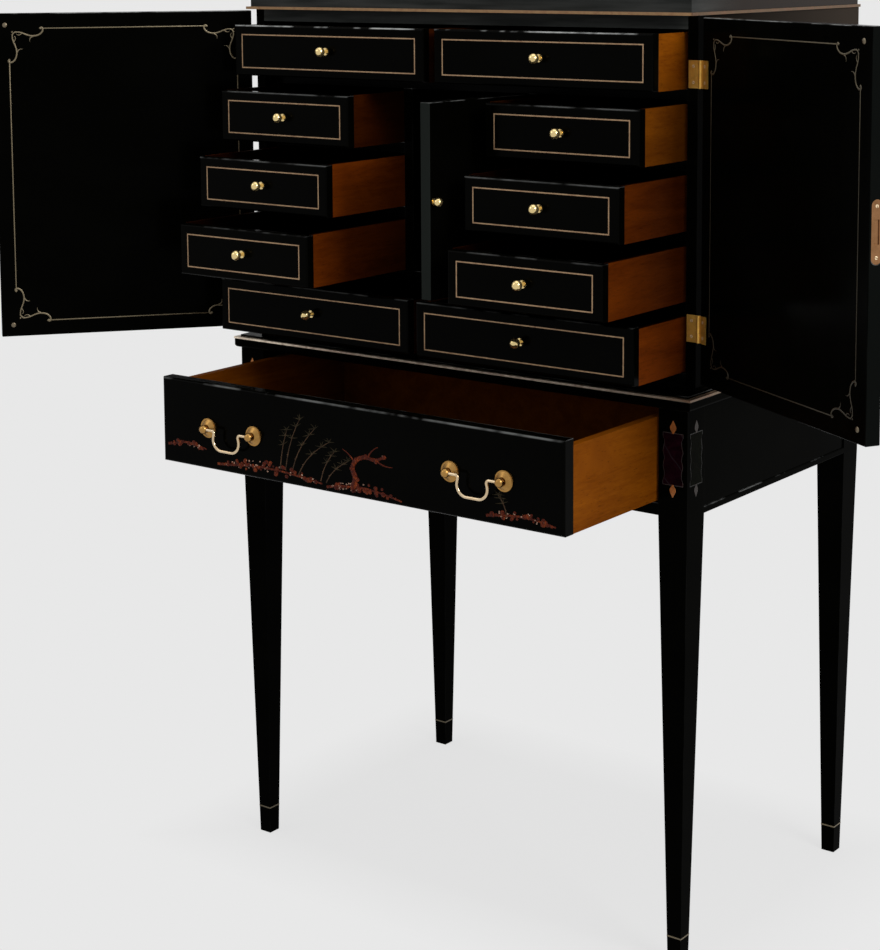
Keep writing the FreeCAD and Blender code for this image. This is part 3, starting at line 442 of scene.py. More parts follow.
def raised_paint(name, ground, tip, sheen):
    """Raised work: coloured ground with gold rubbed over its high places."""
    finish, tree, place = new_finish(name)
    patches = noise(tree, place, 160.0, 4.0, 0.65, 0.5)
    fine = noise(tree, place, 520.0)
    high = times(tree, spread(tree, patches, 0.46, 0.66), spread(tree, fine, 0.3, 0.6))
    deep = mixed(tree, spread(tree, patches, 0.25, 0.5), shade(ground, 0.35), ground)
    return join_up(finish, {"Base Color": mixed(tree, high, deep, tip),
                            "Roughness": spread(tree, fine, 0.2, 0.8, 0.35, 0.6),
                            "Metallic": between(tree, high, 0.0, 0.5), "Specular IOR Level": sheen},
                   patches, 0.5, 0.0006)


def shade(tint, share=1.0):
    """A solid colour, or a darker or lighter one of the same hue."""
    return tuple(share * value for value in tint[:3]) + (1.0,)


def lit_end_face(node, angle, tint):
    """The fade that colours only the end face of a door that stands open at the angle, as a painted light on
    that face.
    """
    way = Matrix.Rotation(angle, 3, "Z") @ Vector((-1, 0, 0))
    far = max(corner.co.dot(way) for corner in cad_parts[node].data.vertices)
    return way, far - UNDER_FACE[0], far - UNDER_FACE[1], tint


def finish_of(name):
    """The named finish, made when it is first asked for."""
    if name in bpy.data.materials:
        return bpy.data.materials[name]
    if "Lacquer skin" not in bpy.data.node_groups:
        for make in (arris_group, recess_group, skin_group, metal_group, grain_group):
            make()
    c, studio = bpy.context.scene.cabinet_finish, bpy.context.scene.cabinet_studio
    black, worn_and_highlight, green = shade(c.lacquer), shade(c.lacquer_worn_and_highlight), c.lacquer_green_and_painted_light
    ground, dull, line = shade(c.gilt_worn), shade(c.brass_dull), c.gilt_dim
    woods = {"brown": (shade(c.drawer_pale), shade(c.drawer_dark)),
             "golden": (shade(c.long_pale), shade(c.long_dark))}
    small, broad = (38.0, 5.0, 38.0), (30.0, 3.4, 30.0)
    back, side, up = Vector((0, 1, 0)), Vector((1, 0, 0)), Vector((0, 0, 1))
    # Each row is a maker and the values that it takes after the name
    makers = {
        # The wear share of each lacquer is also its painted highlight on the arrises, as on the doors' top
        # edges
        "door lacquer": (lacquer, black, worn_and_highlight, 0.008, 0.14, 0.85, 5.0),
        # The right and centre doors' end faces are lighter than their other faces: painted light
        "right door lacquer": (lacquer, black, worn_and_highlight, 0.007, 0.14, 0.85, 5.0,
                               lit_end_face("door_right", studio.right_angle, shade(green, 0.35))),
        "centre lacquer": (lacquer, black, worn_and_highlight, 0.008, 0.14, 0.5, 9.0,
                           lit_end_face("center_door", studio.centre_angle, shade(green, 1.6))),
        # The top drawers' fronts get a strong painted highlight on their top arrises, the other fronts a
        # faint one
        "top front lacquer": (lacquer, black, worn_and_highlight, 0.016, 0.12, 1.3, 12.0),
        "front lacquer": (lacquer, black, worn_and_highlight, 0.016, 0.12, 0.19, 12.0),
        "long front lacquer": (lacquer, black, worn_and_highlight, 0.016, 0.12, 0.32, 12.0),
        "stand lacquer": (lacquer, black, worn_and_highlight, 0.004, 0.11, 0.30, 10.0),
        # Painted shade: black at the front of the case's sides, where the open doors shade them, passing to
        # the warm brown towards the back
        "case lacquer": (lacquer, black, worn_and_highlight, 0.004, 0.11, 0.35, 7.0,
                         (back, -0.21, 0.22, shade(c.lacquer_warm))),
        # Painted light on the cornice and the top rail: their lighter green and its clouds, drawn out into
        # streaks, are painted reflections, and the cornice's side fades to a painted brown reflection; the
        # rail turns black below its front strip
        "cornice lacquer": (lacquer, shade(green, 1.1), worn_and_highlight, 0.10, 0.10, 0.5, 4.0,
                            (back, -0.25, -0.10, shade(c.copper, 0.045)), 0.075, (2.0, 2.0, 10.0)),
        "rail lacquer": (lacquer, shade(green, 1.5), worn_and_highlight, 0.05, 0.10, 0.5, 4.0,
                         (-up, -1.32, -1.30, black), 0.080, (2.0, 2.0, 8.0)),
        "inner lacquer": (lacquer, black, worn_and_highlight, 0.015, 0.18, 0.8, 12.0),
        # The cornice bead darkens on its side face: painted shade
        "gilding": (gilding, shade(c.gilt), ground, 90.0, (side, 0.400, 0.402, shade(c.gilt, 0.42))),
        # The stand bead is near white at the front, a painted highlight, and darker towards its right end and
        # side, a painted shade
        "pale gilding": (gilding, shade(c.gilt_highlight), ground, 90.0, (side, 0.24, 0.43, shade(c.gilt, 0.35))),
        "stringing": (gilding, shade(c.gilt_line), shade(c.gilt_worn, 0.8), 90.0),
        "old gilding": (gilding, shade(line), shade(line, 0.6), 120.0),
        # Painted shade: the right door's inner border is a dim copy of the old gilding, lighter towards the
        # top
        "faint gilding": (gilding, shade(line, 0.2), shade(line, 0.12), 120.0,
                          (up, 1.16, 1.31, shade(line, 0.6))),
        # Darker on the left feet, lighter on the right: painted light from the lamp at the right
        "band gilding": (gilding, shade(line, 0.5), shade(line, 0.3), 120.0,
                         (side, -0.1, 0.1, shade(line, 0.85))),
        "front panel line": (gilding, shade(c.gilt_grey), shade(c.gilt_worn, 0.3), 160.0),
        # The side line and side bud are darker copies of the front ones: painted shade on the posts' side
        # faces
        "side panel line": (gilding, shade(c.leaf, 0.10), shade(c.leaf, 0.05), 160.0),
        "front bud": (gilding, shade(c.bud, 0.8), shade(c.bud, 0.4), 160.0),
        "side bud": (gilding, shade(c.bud, 0.02), shade(c.bud, 0.01), 160.0),
        "brass": (metal, shade(c.knob), dull, 0.16, 70.0, 0.45),
        "rosette brass": (metal, shade(c.brass, 0.74), dull, 0.26, 45.0, 0.4),
        "stud brass": (metal, shade(c.knob, 0.3), shade(c.brass_dull, 0.6), 0.3, 160.0, 0.5),
        "hinge brass": (metal, shade(c.hinge), dull, 0.28, 90.0, 0.35, 0.6),
        "screw brass": (metal, shade(c.screw), shade(c.wire), 0.25, 200.0, 0.3, 0.3),
        "bail wire": (metal, shade(c.wire), shade(c.brass), 0.14, 120.0, 0.3),
        "lock brass": (metal, shade(c.copper), dull, 0.26, 60.0, 0.4, 0.8),
        "long drawer wood": (board, *woods["golden"], broad, 0.55),
        "front marbling": (marbling, shade(c.shell_red, 0.4), shade(c.shell_red), shade(c.gilt_grey)),
        # The side marbling is kept dark: painted shade on the posts' side faces
        "side marbling": (marbling, shade(c.shell_green, 0.15), shade(c.shell_green, 0.4),
                          shade(c.leaf, 0.1)),
        "relief": (raised_paint, shade(c.relief), shade(c.relief_tip), 0.1),
        "fleck paint": (raised_paint, shade(c.fleck, 0.5), shade(c.fleck), 0.2),
        "twig paint": (raised_paint, shade(c.twig, 0.5), shade(c.twig), 0.1),
        "leaf paint": (raised_paint, shade(c.leaf, 0.5), shade(c.leaf), 0.05),
    }
    for drawer, (wood, tone) in BOX_WOODS.items():
        low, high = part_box(drawer + "_box")
        sides = ((low.x + high.x) / 2, (high.x - low.x) / 2)
        makers[drawer + " wood"] = (board, *woods[wood], small, 0.95, tone, sides)
    maker, *values = makers[name]
    return maker(name, *values)


# Modelling by hand

def let_go():
    """Nothing selected, so that the next operator acts on the new piece alone."""
    bpy.ops.object.select_all(action="DESELECT")


def hold(pieces):
    """Those pieces selected, the first one active."""
    let_go()
    for piece in pieces:
        piece.select_set(True)
    bpy.context.view_layer.objects.active = pieces[0]


def settle():
    """The active piece's place and turn go into its mesh."""
    bpy.ops.object.transform_apply(location=True, rotation=True, scale=True)
    return bpy.context.active_object


def start_with(make, scale=(1.0, 1.0, 1.0), **options):
    """A new basic shape at its size, to be worked on."""
    let_go()
    make(**options)
    bpy.context.active_object.scale = scale
    return settle()


def enter():
    """Edit mode, with the whole of the active piece selected."""
    bpy.ops.object.mode_set(mode="EDIT")
    bpy.ops.mesh.select_all(action="SELECT")


def leave():
    """Back to object mode."""
    bpy.ops.object.mode_set(mode="OBJECT")
    return bpy.context.active_object


def pick(kind, test):
    """In edit mode, the corners or the faces whose place passes the test."""
    bpy.ops.mesh.select_mode(type=kind)
    bpy.ops.mesh.select_all(action="DESELECT")
    mesh = leave().data
    if kind == "VERT":
        for corner in mesh.vertices:
            corner.select = bool(test(corner.co))
    else:
        for face in mesh.polygons:
            face.select = bool(test(face.center))
    bpy.ops.object.mode_set(mode="EDIT")


def thicken(depth):
    """In edit mode, the whole flat shape drawn out upwards into a closed solid."""
    bpy.ops.mesh.select_all(action="SELECT")
    bpy.ops.mesh.extrude_region_move(TRANSFORM_OT_translate={"value": (0.0, 0.0, depth)})
    bpy.ops.mesh.select_all(action="SELECT")
    bpy.ops.mesh.normals_make_consistent(inside=False)


def ring(thickness, depth):
    """In edit mode, a flat shape cut down to its rim and drawn out; returns the piece."""
    bpy.ops.mesh.inset(thickness=thickness, depth=0.0, use_even_offset=True)
    bpy.ops.mesh.delete(type="FACE")
    thicken(depth)
    return leave()


def soften(width, segments=2):
    """The active piece's sharp edges rounded."""
    piece = bpy.context.active_object
    rounding = piece.modifiers.new("Soft edges", "BEVEL")
    rounding.width = width
    rounding.segments = segments
    rounding.limit_method = "ANGLE"
    rounding.angle_limit = math.radians(40.0)
    bpy.ops.object.modifier_apply(modifier=rounding.name)
    return piece


def shade_smooth(angle):
    bpy.ops.object.shade_smooth_by_angle(angle=math.radians(angle))
    return bpy.context.active_object


def done(piece, name, finish, body):
    """A finished piece gets its name, its finish and the body that it rides on."""
    piece.name = piece.data.name = name
    piece.data.materials.clear()
    piece.data.materials.append(finish_of(finish))
    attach(piece, body)
    return piece


def copied(piece):
    """A copy with its own mesh, selected and active."""
    hold([piece])
    bpy.ops.object.duplicate(linked=False)
    return bpy.context.active_object


def placed(piece, matrix):
    """The piece turned and moved as the matrix says, with that kept in its mesh."""
    hold([piece])
    piece.matrix_world = matrix
    return settle()


def joined(pieces):
    hold(pieces)
    bpy.ops.object.join()
    return bpy.context.active_object


def stamped(pattern, places):
    """One piece made of a copy of the pattern in each of two or more places."""
    return joined([placed(copied(pattern), place) for place in places])


def stroke(points, thick, taper=(1.0, 1.0), flat=0.45, bends=5):
    """A painted stroke in the XY plane: a smooth tapered tube, pressed flat."""
    let_go()
    bpy.ops.curve.primitive_nurbs_path_add(location=(0, 0, 0))
    curve = bpy.context.active_object
    curve.data.splines.clear()
    spline = curve.data.splines.new("NURBS")
    last = len(points) - 1
    spline.points.add(last)
    for index, (across, up) in enumerate(points):
        share = index / last
        spline.points[index].co = (across, up, 0.0, 1.0)
        spline.points[index].radius = taper[0] + (taper[1] - taper[0]) * share
    spline.order_u = 3
    spline.use_endpoint_u = True
    spline.resolution_u = bends
    curve.data.bevel_depth = thick / 2
    curve.data.bevel_resolution = 1
    curve.data.use_fill_caps = True
    bpy.ops.object.convert(target="MESH")
    piece = bpy.context.active_object
    piece.scale = (1.0, 1.0, flat)
    return settle()


def bead(across, up, radius, rise):
    """A small flattened bead in the XY plane."""
    return start_with(bpy.ops.mesh.primitive_ico_sphere_add, (1.0, 0.9, rise), subdivisions=2, radius=radius,
                      location=(across, up, 0))


def silhouette(rows, width, height, proud):
    """A flat upright shape in the XY plane whose width changes from row to row, from the bottom up."""
    steps = len(rows) - 1
    start_with(bpy.ops.mesh.primitive_grid_add, (width, height, 1.0), x_subdivisions=2, y_subdivisions=steps,
               size=1)
    enter()
    for index, share in enumerate(rows):
        level = height * (index / steps - 0.5)
        pick("VERT", lambda spot: abs(spot.y - level) < height / steps / 4)
        bpy.ops.transform.resize(value=(share, 1.0, 1.0), center_override=(0.0, 0.0, 0.0))
    thicken(proud)
    return leave()


def face_matrix(spot, normal):
    """Takes a flat drawing with X across, Y up and Z outward to an upright face."""
    out, up = Vector(normal).normalized(), Vector((0.0, 0.0, 1.0))
    turn = Matrix((up.cross(out), up, out)).transposed().to_4x4()
    return Matrix.Translation(spot) @ turn


# The pieces

FINISHES = {
    "door lacquer": ("door_left",),
    "right door lacquer": ("door_right",),
    "centre lacquer": ("center_door",),
    "stand lacquer": ("front_legs", "back_legs", "side_aprons", "back_apron", "front_rail",
                      "stand_top"),
    "case lacquer": ("case_sides", "case_back"),
    "cornice lacquer": ("cornice",),
    "rail lacquer": ("case_top_and_bottom",),
    "inner lacquer": ("case_uprights", "case_shelves"),
    "gilding": ("cornice_bead",),
    "pale gilding": ("stand_bead",),
    "hinge brass": ("case_hinges", "hinge_leaves_left", "hinge_leaves_right", "center_door_hinges"),
    "brass": ("center_door_knob_and_leaves",),
    "rosette brass": ("bail_posts",),
    "bail wire": ("bail_left", "bail_right"),
    "lock brass": ("door_lock", "strike_plate"),
    "long drawer wood": ("long_drawer_box", "drawer_runners"),
    "long front lacquer": ("long_drawer_front",),
}

# Each small drawer's wood and how light it is: the lightness is partly painted light and shade, near black
# for drawers in shaded gaps, lighter for those in the lamp's light
BOX_WOODS = {"top_left": ("brown", 0.18), "top_right": ("golden", 1.2), "upper_left": ("brown", 0.2),
             "upper_right": ("golden", 1.05), "middle_left": ("brown", 1.1), "middle_right": ("brown", 0.62),
             "lower_left": ("brown", 0.62), "lower_right": ("brown", 0.62), "bottom_left": ("brown", 0.15),
             "bottom_right": ("brown", 1.0)}


class CABINET_OT_finishes(Operator):
    """Gives each carried-over piece its finish"""
    bl_idname = "cabinet.finishes"
    bl_label = "Finish the joinery and the brass"

    def execute(self, context):
        chosen = {node: finish for finish, nodes in FINISHES.items() for node in nodes}
        for drawer in BOX_WOODS:
            chosen[drawer + "_front"] = "top front lacquer" if drawer.startswith("top") else "front lacquer"
            chosen[drawer + "_box"] = drawer + " wood"
            chosen[drawer + "_knob"] = "brass"
        for node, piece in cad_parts.items():
            for slot in piece.material_slots:
                slot.material = finish_of(chosen[node])
        return {"FINISHED"}


def line_frame(width, height, line, proud):
    """A flat frame of gilt line in the XY plane, centred."""
    start_with(bpy.ops.mesh.primitive_plane_add, (width, height, 1.0), size=1)
    enter()
    ring(line, proud)
    return soften(proud / 3, 1)


class CABINET_OT_drawer_lines(Operator):
    """Gilt stringing on the ten small drawer fronts"""
    bl_idname = "cabinet.drawer_lines"
    bl_label = "Stringing on the small drawers"

    def execute(self, context):
        trim = context.scene.cabinet_trim
        for row in ROWS:
            low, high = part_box(row + "_left_front")
            pattern = line_frame(high.x - low.x - 2 * trim.line_side,
                                 high.z - low.z - trim.line_below - trim.line_above, trim.line, trim.proud)
            for hand in HANDS:
                low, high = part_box(f"{row}_{hand}_front")
                spot = ((low.x + high.x) / 2, low.y, (low.z + high.z + trim.line_below - trim.line_above) / 2)
                line = placed(copied(pattern), face_matrix(spot, (0, -1, 0)))
                done(line, f"{row}_{hand}_stringing", "stringing", f"drawer_{row}_{hand}")
            bpy.data.objects.remove(pattern)
        return {"FINISHED"}


SCROLL_REACH = 47    # reach of the drawing below, in its own units


def corner_scroll(reach, line):
    """Two mirrored scrolls that join a border's lines, with the corner at the origin."""
    unit = reach / SCROLL_REACH
    sweep = [(47, 0.6), (49.5, -2.2), (52.3, 0.6), (51, 6), (45, 10.5), (36, 12), (27.5, 10), (20, 6.6),
             (13, 5), (7.2, 6.2), (4.6, 10.4)]
    leaf = [(37, 11.6), (33.5, 13.6), (31.2, 16.8), (31.6, 20.6)]
    spur = [(20, 7.2), (17.6, 9.8), (13.2, 10.2), (11.6, 8.2)]
    parts = []
    for flip in (False, True):
        for points, thick, taper in ((sweep, 1.25, (1.5, 0.8)), (leaf, 1.5, (1.0, 0.15)),
                                     (spur, 1.1, (0.9, 0.35))):
            drawn = [(b * unit, a * unit) if flip else (a * unit, b * unit) for a, b in points]
            parts.append(stroke(drawn, thick * line, taper))
        knob = (0.0, 48.5 * unit) if flip else (48.5 * unit, 0.0)
        parts.append(bead(knob[0], knob[1], 1.25 * line, 0.35))
    parts.append(bead(5.2 * unit, 5.2 * unit, 0.9 * line, 0.35))
    return joined(parts)


def door_border(width, height, trim):
    """The whole border of one door face, centred in the XY plane."""
    half, tall = width / 2 - trim.border, height / 2 - trim.border
    corner = corner_scroll(trim.corner, trim.border_line)
    parts = [stamped(corner, [Matrix.Translation((across * half, up * tall, 0.0))
                              @ Matrix.Diagonal((-across, -up, 1.0, 1.0))
                              for across in (-1, 1) for up in (-1, 1)])]
    bpy.data.objects.remove(corner)
    for turn, run, level in ((0.0, half, tall), (math.pi / 2, tall, half)):
        start_with(bpy.ops.mesh.primitive_cube_add,
                   (2 * (run - trim.corner), trim.border_line, 2 * trim.proud), size=1)
        bar, turned = soften(trim.proud / 2), Matrix.Rotation(turn, 4, "Z")
        parts.append(stamped(bar, [turned @ Matrix.Translation((0.0, hand * level, 0.0))
                                   for hand in (-1, 1)]))
        bpy.data.objects.remove(bar)
    joined(parts)
    enter()
    bpy.ops.mesh.normals_make_consistent(inside=False)
    leave()
    return shade_smooth(50.0)


# An open door's pin, and where its faces, its hinge leaves and its lock lie from there
DOOR = {"pin": (0.4045, -0.2255), "start": 0.0035, "width": 0.400, "inner": -0.0015, "outer": -0.0225,
        "leaf": -0.0001, "lock_rise": 0.008}


def on_door(hand, along, depth, level, way=(0, 1, 0)):
    """A flat drawing's place on an open door: along it from its pin, and depth and way as if it were shut."""
    studio, side = bpy.context.scene.cabinet_studio, HANDS[hand]
    turn = Matrix.Rotation(side * (studio.right_angle if side > 0 else studio.left_angle), 3, "Z")
    spot = Vector((side * DOOR["pin"][0], DOOR["pin"][1], level)) + turn @ Vector((-side * along, depth, 0.0))
    return face_matrix(spot, turn @ Vector(way))


class CABINET_OT_door_borders(Operator):
    """Gilt borders with scrolled corners on both faces of the doors"""
    bl_idname = "cabinet.door_borders"
    bl_label = "Borders of the doors"

    def execute(self, context):
        low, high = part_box("door_left")
        pattern = door_border(DOOR["width"], high.z - low.z, context.scene.cabinet_trim)
        middle = DOOR["start"] + DOOR["width"] / 2
        for hand in HANDS:
            for face, way in (("inner", (0, 1, 0)), ("outer", (0, -1, 0))):
                place = on_door(hand, middle, DOOR[face], (low.z + high.z) / 2, way)
                # The right door's inner face gets the dim gilding, a painted shade
                finish = "faint gilding" if (hand, face) == ("right", "inner") else "old gilding"
                done(placed(copied(pattern), place), f"door_{hand}_{face}_border", finish, f"door_{hand}")
        bpy.data.objects.remove(pattern)
        return {"FINISHED"}


class CABINET_OT_door_studs(Operator):
    """Domed brass studs in the free corners of the doors"""
    bl_idname = "cabinet.door_studs"
    bl_label = "Studs of the doors"

    def execute(self, context):
        trim = context.scene.cabinet_trim
        start_with(bpy.ops.mesh.primitive_uv_sphere_add, (1.0, 1.0, 0.3), segments=24, ring_count=12,
                   radius=trim.stud)
        enter()
        bpy.ops.mesh.bisect(plane_co=(0, 0, 0), plane_no=(0, 0, 1), clear_inner=True, use_fill=True)
        leave()
        pattern = shade_smooth(60.0)
        free = DOOR["start"] + DOOR["width"] - trim.stud_side
        for hand in HANDS:
            low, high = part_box(f"door_{hand}")
            pair = [on_door(hand, free, DOOR["inner"], level)
                    for level in (low.z + trim.stud_end, high.z - trim.stud_end)]
            done(stamped(pattern, pair), f"door_{hand}_studs", "stud brass", f"door_{hand}")
        bpy.data.objects.remove(pattern)
        return {"FINISHED"}


def screw_head(radius, proud):
    """A round screw head with its slot, low and slightly domed, in the XY plane."""
    start_with(bpy.ops.mesh.primitive_circle_add, vertices=24, radius=radius, fill_type="NGON")
    enter()
    bpy.ops.mesh.bisect(plane_co=(0, 0.13 * radius, 0), plane_no=(0, 1, 0), clear_inner=True)
    bpy.ops.mesh.select_all(action="SELECT")
    bpy.ops.mesh.inset(thickness=0.22 * radius, depth=0.0)
    thicken(proud / 2)
    pick("FACE", lambda spot: spot.z > proud / 4 and spot.y > 0.3 * radius and spot.length < 0.8 * radius)
    bpy.ops.transform.translate(value=(0.0, 0.0, proud / 2))
    half = leave()
    joined([half, placed(copied(half), Matrix.Rotation(math.pi, 4, "Z"))])
    return shade_smooth(50.0)


class CABINET_OT_screws(Operator):
    """Slotted heads on the screws of the hinges, the lock and the strike"""
    bl_idname = "cabinet.screws"
    bl_label = "Screw heads"

    def execute(self, context):
        trim = context.scene.cabinet_trim
        low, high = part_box("case_hinges")
        levels = (low.z + trim.screw_end, low.z + trim.hinge - trim.screw_end,
                  high.z - trim.hinge + trim.screw_end, high.z - trim.screw_end)
        head = screw_head(trim.screw, 0.3 * trim.proud)
        places = {"case": [], "door_left": [], "door_right": []}
        for hand, side in HANDS.items():
            for index, level in enumerate(levels):
                # Each slot stands as its screw happened to stop
                tilt = Matrix.Rotation(0.5 + 0.9 * index + 0.4 * side, 4, "Z")
                spot = (side * (DOOR["pin"][0] - trim.screw_in), DOOR["pin"][1] - DOOR["leaf"], level)
                places["case"].append(face_matrix(spot, (0, -1, 0)) @ tilt)
                places["door_" + hand].append(on_door(hand, trim.screw_in, DOOR["leaf"], level) @ tilt)
        for body, spots in places.items():
            done(stamped(head, spots), body + "_hinge_screws", "screw brass", body)
        bpy.data.objects.remove(head)
        head = screw_head(trim.screw, trim.proud)
        low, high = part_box("door_right")
        free, depth = DOOR["start"] + DOOR["width"], (DOOR["inner"] + DOOR["outer"]) / 2
        for hand, side in HANDS.items():
            pair = []
            for sign in (-1, 1):
                level = (low.z + high.z) / 2 + DOOR["lock_rise"] + sign * trim.lock_screw_out
                place = on_door(hand, free, depth, level, (-side, 0, 0))
                pair.append(place @ Matrix.Rotation(0.6 + sign, 4, "Z"))
            name = "lock_screws" if side > 0 else "strike_screws"
            done(stamped(head, pair), name, "screw brass", f"door_{hand}")
        bpy.data.objects.remove(head)
        return {"FINISHED"}


class CABINET_OT_foot_bands(Operator):
    """Gilt band round each tapered foot"""
    bl_idname = "cabinet.foot_bands"
    bl_label = "Bands of the feet"

    def execute(self, context):
        trim = context.scene.cabinet_trim
        low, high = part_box("front_legs")
        corners = [corner.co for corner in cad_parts["front_legs"].data.vertices]
        foot = [spot for spot in corners if spot.x > 0 and spot.z < low.z + 0.001]
        left, right = min(s.x for s in foot), max(s.x for s in foot)
        deep = (min(s.y for s in foot) + max(s.y for s in foot)) / 2
        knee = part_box("side_aprons")[0].z
        grown = (high.x - right) * trim.band_level / knee
        start_with(bpy.ops.mesh.primitive_plane_add, size=right - left + 2 * (grown + trim.proud))
        enter()
        ring(4 * trim.proud, trim.band)
        pattern = soften(trim.proud / 2)
        for hand, side in HANDS.items():
            for name, depth in (("front", deep), ("back", -deep)):
                spot = (side * (left + right) / 2, depth, trim.band_level - trim.band / 2)
                band = placed(copied(pattern), Matrix.Translation(spot))
                done(band, f"{name}_{hand}_foot_band", "band gilding", "case")
        bpy.data.objects.remove(pattern)
        return {"FINISHED"}


# Shares of a panel's and a bud's full width, from the bottom up
PANEL_ROWS = (1.0, 1.0, 0.86, 0.84, 0.88, 0.98, 0.92, 0.84, 0.90, 0.99, 0.93, 0.85, 0.84, 1.0, 1.0)
BUD_ROWS = (0.36, 0.30, 0.62, 0.95, 1.0, 0.86, 0.58, 0.30, 0.06)
# A bud's width in panel widths, and its height and its distance from the panel's middle in panel heights
BUD_WIDE, BUD_TALL, BUD_AWAY = 0.30, 0.26, 0.60


class CABINET_OT_corner_panels(Operator):
    """Marbled panels with gilt outlines and buds on the front posts"""
    bl_idname = "cabinet.corner_panels"
    bl_label = "Panels of the posts"

    def execute(self, context):
        trim = context.scene.cabinet_trim
        wide, tall, line = trim.panel_width, trim.panel_height, 0.6 * trim.line
        rim = silhouette(PANEL_ROWS, wide, tall, trim.proud)
        ground = silhouette(PANEL_ROWS, wide - 2 * line, tall - 2 * line, 1.5 * trim.proud)
        bud = silhouette(BUD_ROWS, BUD_WIDE * wide, BUD_TALL * tall, 1.5 * trim.proud)
        soften(trim.proud / 2)
        lift = Matrix.Translation((0.0, BUD_AWAY * tall, 0.0))
        drop = Matrix.Translation((0.0, -BUD_AWAY * tall, 0.0)) @ Matrix.Rotation(math.pi, 4, "Z")
        buds = joined([placed(copied(bud), lift), placed(bud, drop)])
        low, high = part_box("front_legs")
        for hand, side in HANDS.items():
            middle, deep = side * (high.x - trim.post / 2), low.y + trim.post / 2
            faces = {"front": ((middle, low.y), (0, -1, 0)), "side": ((side * high.x, deep), (side, 0, 0))}
            for name, (spot, normal) in faces.items():
                matrix = face_matrix((spot[0], spot[1], trim.panel_middle), normal)
                # The side faces get the darker copies of the line, the marbling and the buds, a painted shade
                for pattern, part, finish in ((rim, "outline", "panel line"), (ground, "panel", "marbling"),
                                              (buds, "buds", "bud")):
                    piece = placed(copied(pattern), matrix)
                    done(piece, f"post_{hand}_{name}_{part}", f"{name} {finish}", "case")
        for pattern in (rim, ground, buds):
            bpy.data.objects.remove(pattern)
        return {"FINISHED"}


# How much of a bank goes to each of its stones and to each pale bead of painted highlight
STONE_STEP, PAINTED_GLINT_STEP = 0.0034, 0.0055


def jitter(count):
    """The same spread of values from -1 to 1 on every run."""
    return math.modf(math.sin(count * 12.9898) * 43.7585)[0]


def crown(tall, share):
    """Height of a bank's outline at a share of its width."""
    return tall * math.sin(math.pi * share) ** 0.6


def knoll(across, level, wide, tall, seed):
    """A low rocky bank: an irregular ground stroke under overlapping flattened stones."""
    ground, steps = [], 8
    for index in range(steps + 1):
        share = index / steps
        rise = tall * 0.5 * math.sin(math.pi * share) + 0.0012 * jitter(seed + index)
        ground.append((across + wide * 1.12 * (share - 0.5), level + rise))
    parts = [stroke(ground, 0.0080, (0.5, 0.3), 0.14)]
    for index in range(max(10, int(wide / STONE_STEP))):
        share = 0.5 + 0.5 * jitter(seed + 1.7 * index)
        high = level + crown(tall, share) * (0.5 + 0.5 * jitter(seed + 5.3 * index))
        size = 0.0018 + 0.0022 * abs(jitter(seed + 3.1 * index))
        parts.append(bead(across + wide * (share - 0.5), high, size, 0.34))
    return parts


def tips(across, level, wide, tall, seed, count):
    """Small pale beads along the crown of a bank: painted highlights."""
    parts = []
    for index in range(count):
        share = 0.5 + 0.48 * jitter(seed + 2.9 * index)
        high = level + crown(tall, share) * (0.55 + 0.5 * jitter(seed + 4.1 * index))
        size = 0.0009 + 0.0006 * abs(jitter(seed + 1.3 * index))
        parts.append(bead(across + wide * (share - 0.5), high, size, 0.7))
    return parts


def cane(across, level, lean, tall):
    """One jointed cane and the leaves at its top and joints."""
    line = [(across + out * lean, level + up * tall)
            for out, up in ((0.0, 0.0), (0.15, 0.3), (0.45, 0.62), (0.75, 0.85), (1.0, 1.0))]
    stem = [stroke(line, 0.0017, (1.1, 0.5), 0.45)]
    stem += [bead(x, y, 0.0011, 0.8) for x, y in line[1:4]]
    leaves = []
    for spot, (x, y) in enumerate(line[2:]):
        for leaf in range(4):
            turn = math.radians(-70 + 42 * leaf + 18 * jitter(7 * across * 100 + leaf + spot))
            size = 0.010 + 0.004 * abs(jitter(leaf + 3 * spot + 90 * across))
            dx, dy = size * math.sin(turn), size * math.cos(turn) - 0.35 * size
            leaves.append(stroke([(x, y), (x + 0.5 * dx, y + 0.62 * dy), (x + dx, y + dy)], 0.0021,
                                 (0.9, 0.12), 0.3, 3))
    return stem, leaves


# Metres on the long drawer's front, from its middle and its foot. Banks: middle, level, width, height.
# Canes: foot, level, lean, height. The stump and its twigs: points along them.
BANKS = ((-0.312, 0.028, 0.070, 0.010), (-0.150, 0.010, 0.180, 0.017), (0.026, 0.007, 0.120, 0.015),
         (0.292, 0.011, 0.100, 0.012))
CANES = ((-0.128, 0.020, 0.014, 0.060), (-0.118, 0.020, 0.028, 0.078), (-0.106, 0.018, 0.044, 0.070),
         (-0.094, 0.016, 0.058, 0.056), (-0.052, 0.014, 0.026, 0.046), (-0.042, 0.013, 0.040, 0.036),
         (0.270, 0.014, -0.014, 0.028))
STUMP = ((0.006, 0.012), (0.014, 0.026), (0.004, 0.040), (0.012, 0.054), (0.030, 0.061), (0.048, 0.056),
         (0.062, 0.064))
TWIGS = (((0.010, 0.050), (0.000, 0.062), (-0.012, 0.066)), ((0.034, 0.060), (0.040, 0.072), (0.052, 0.077)),
         ((0.050, 0.057), (0.062, 0.050), (0.078, 0.052)))


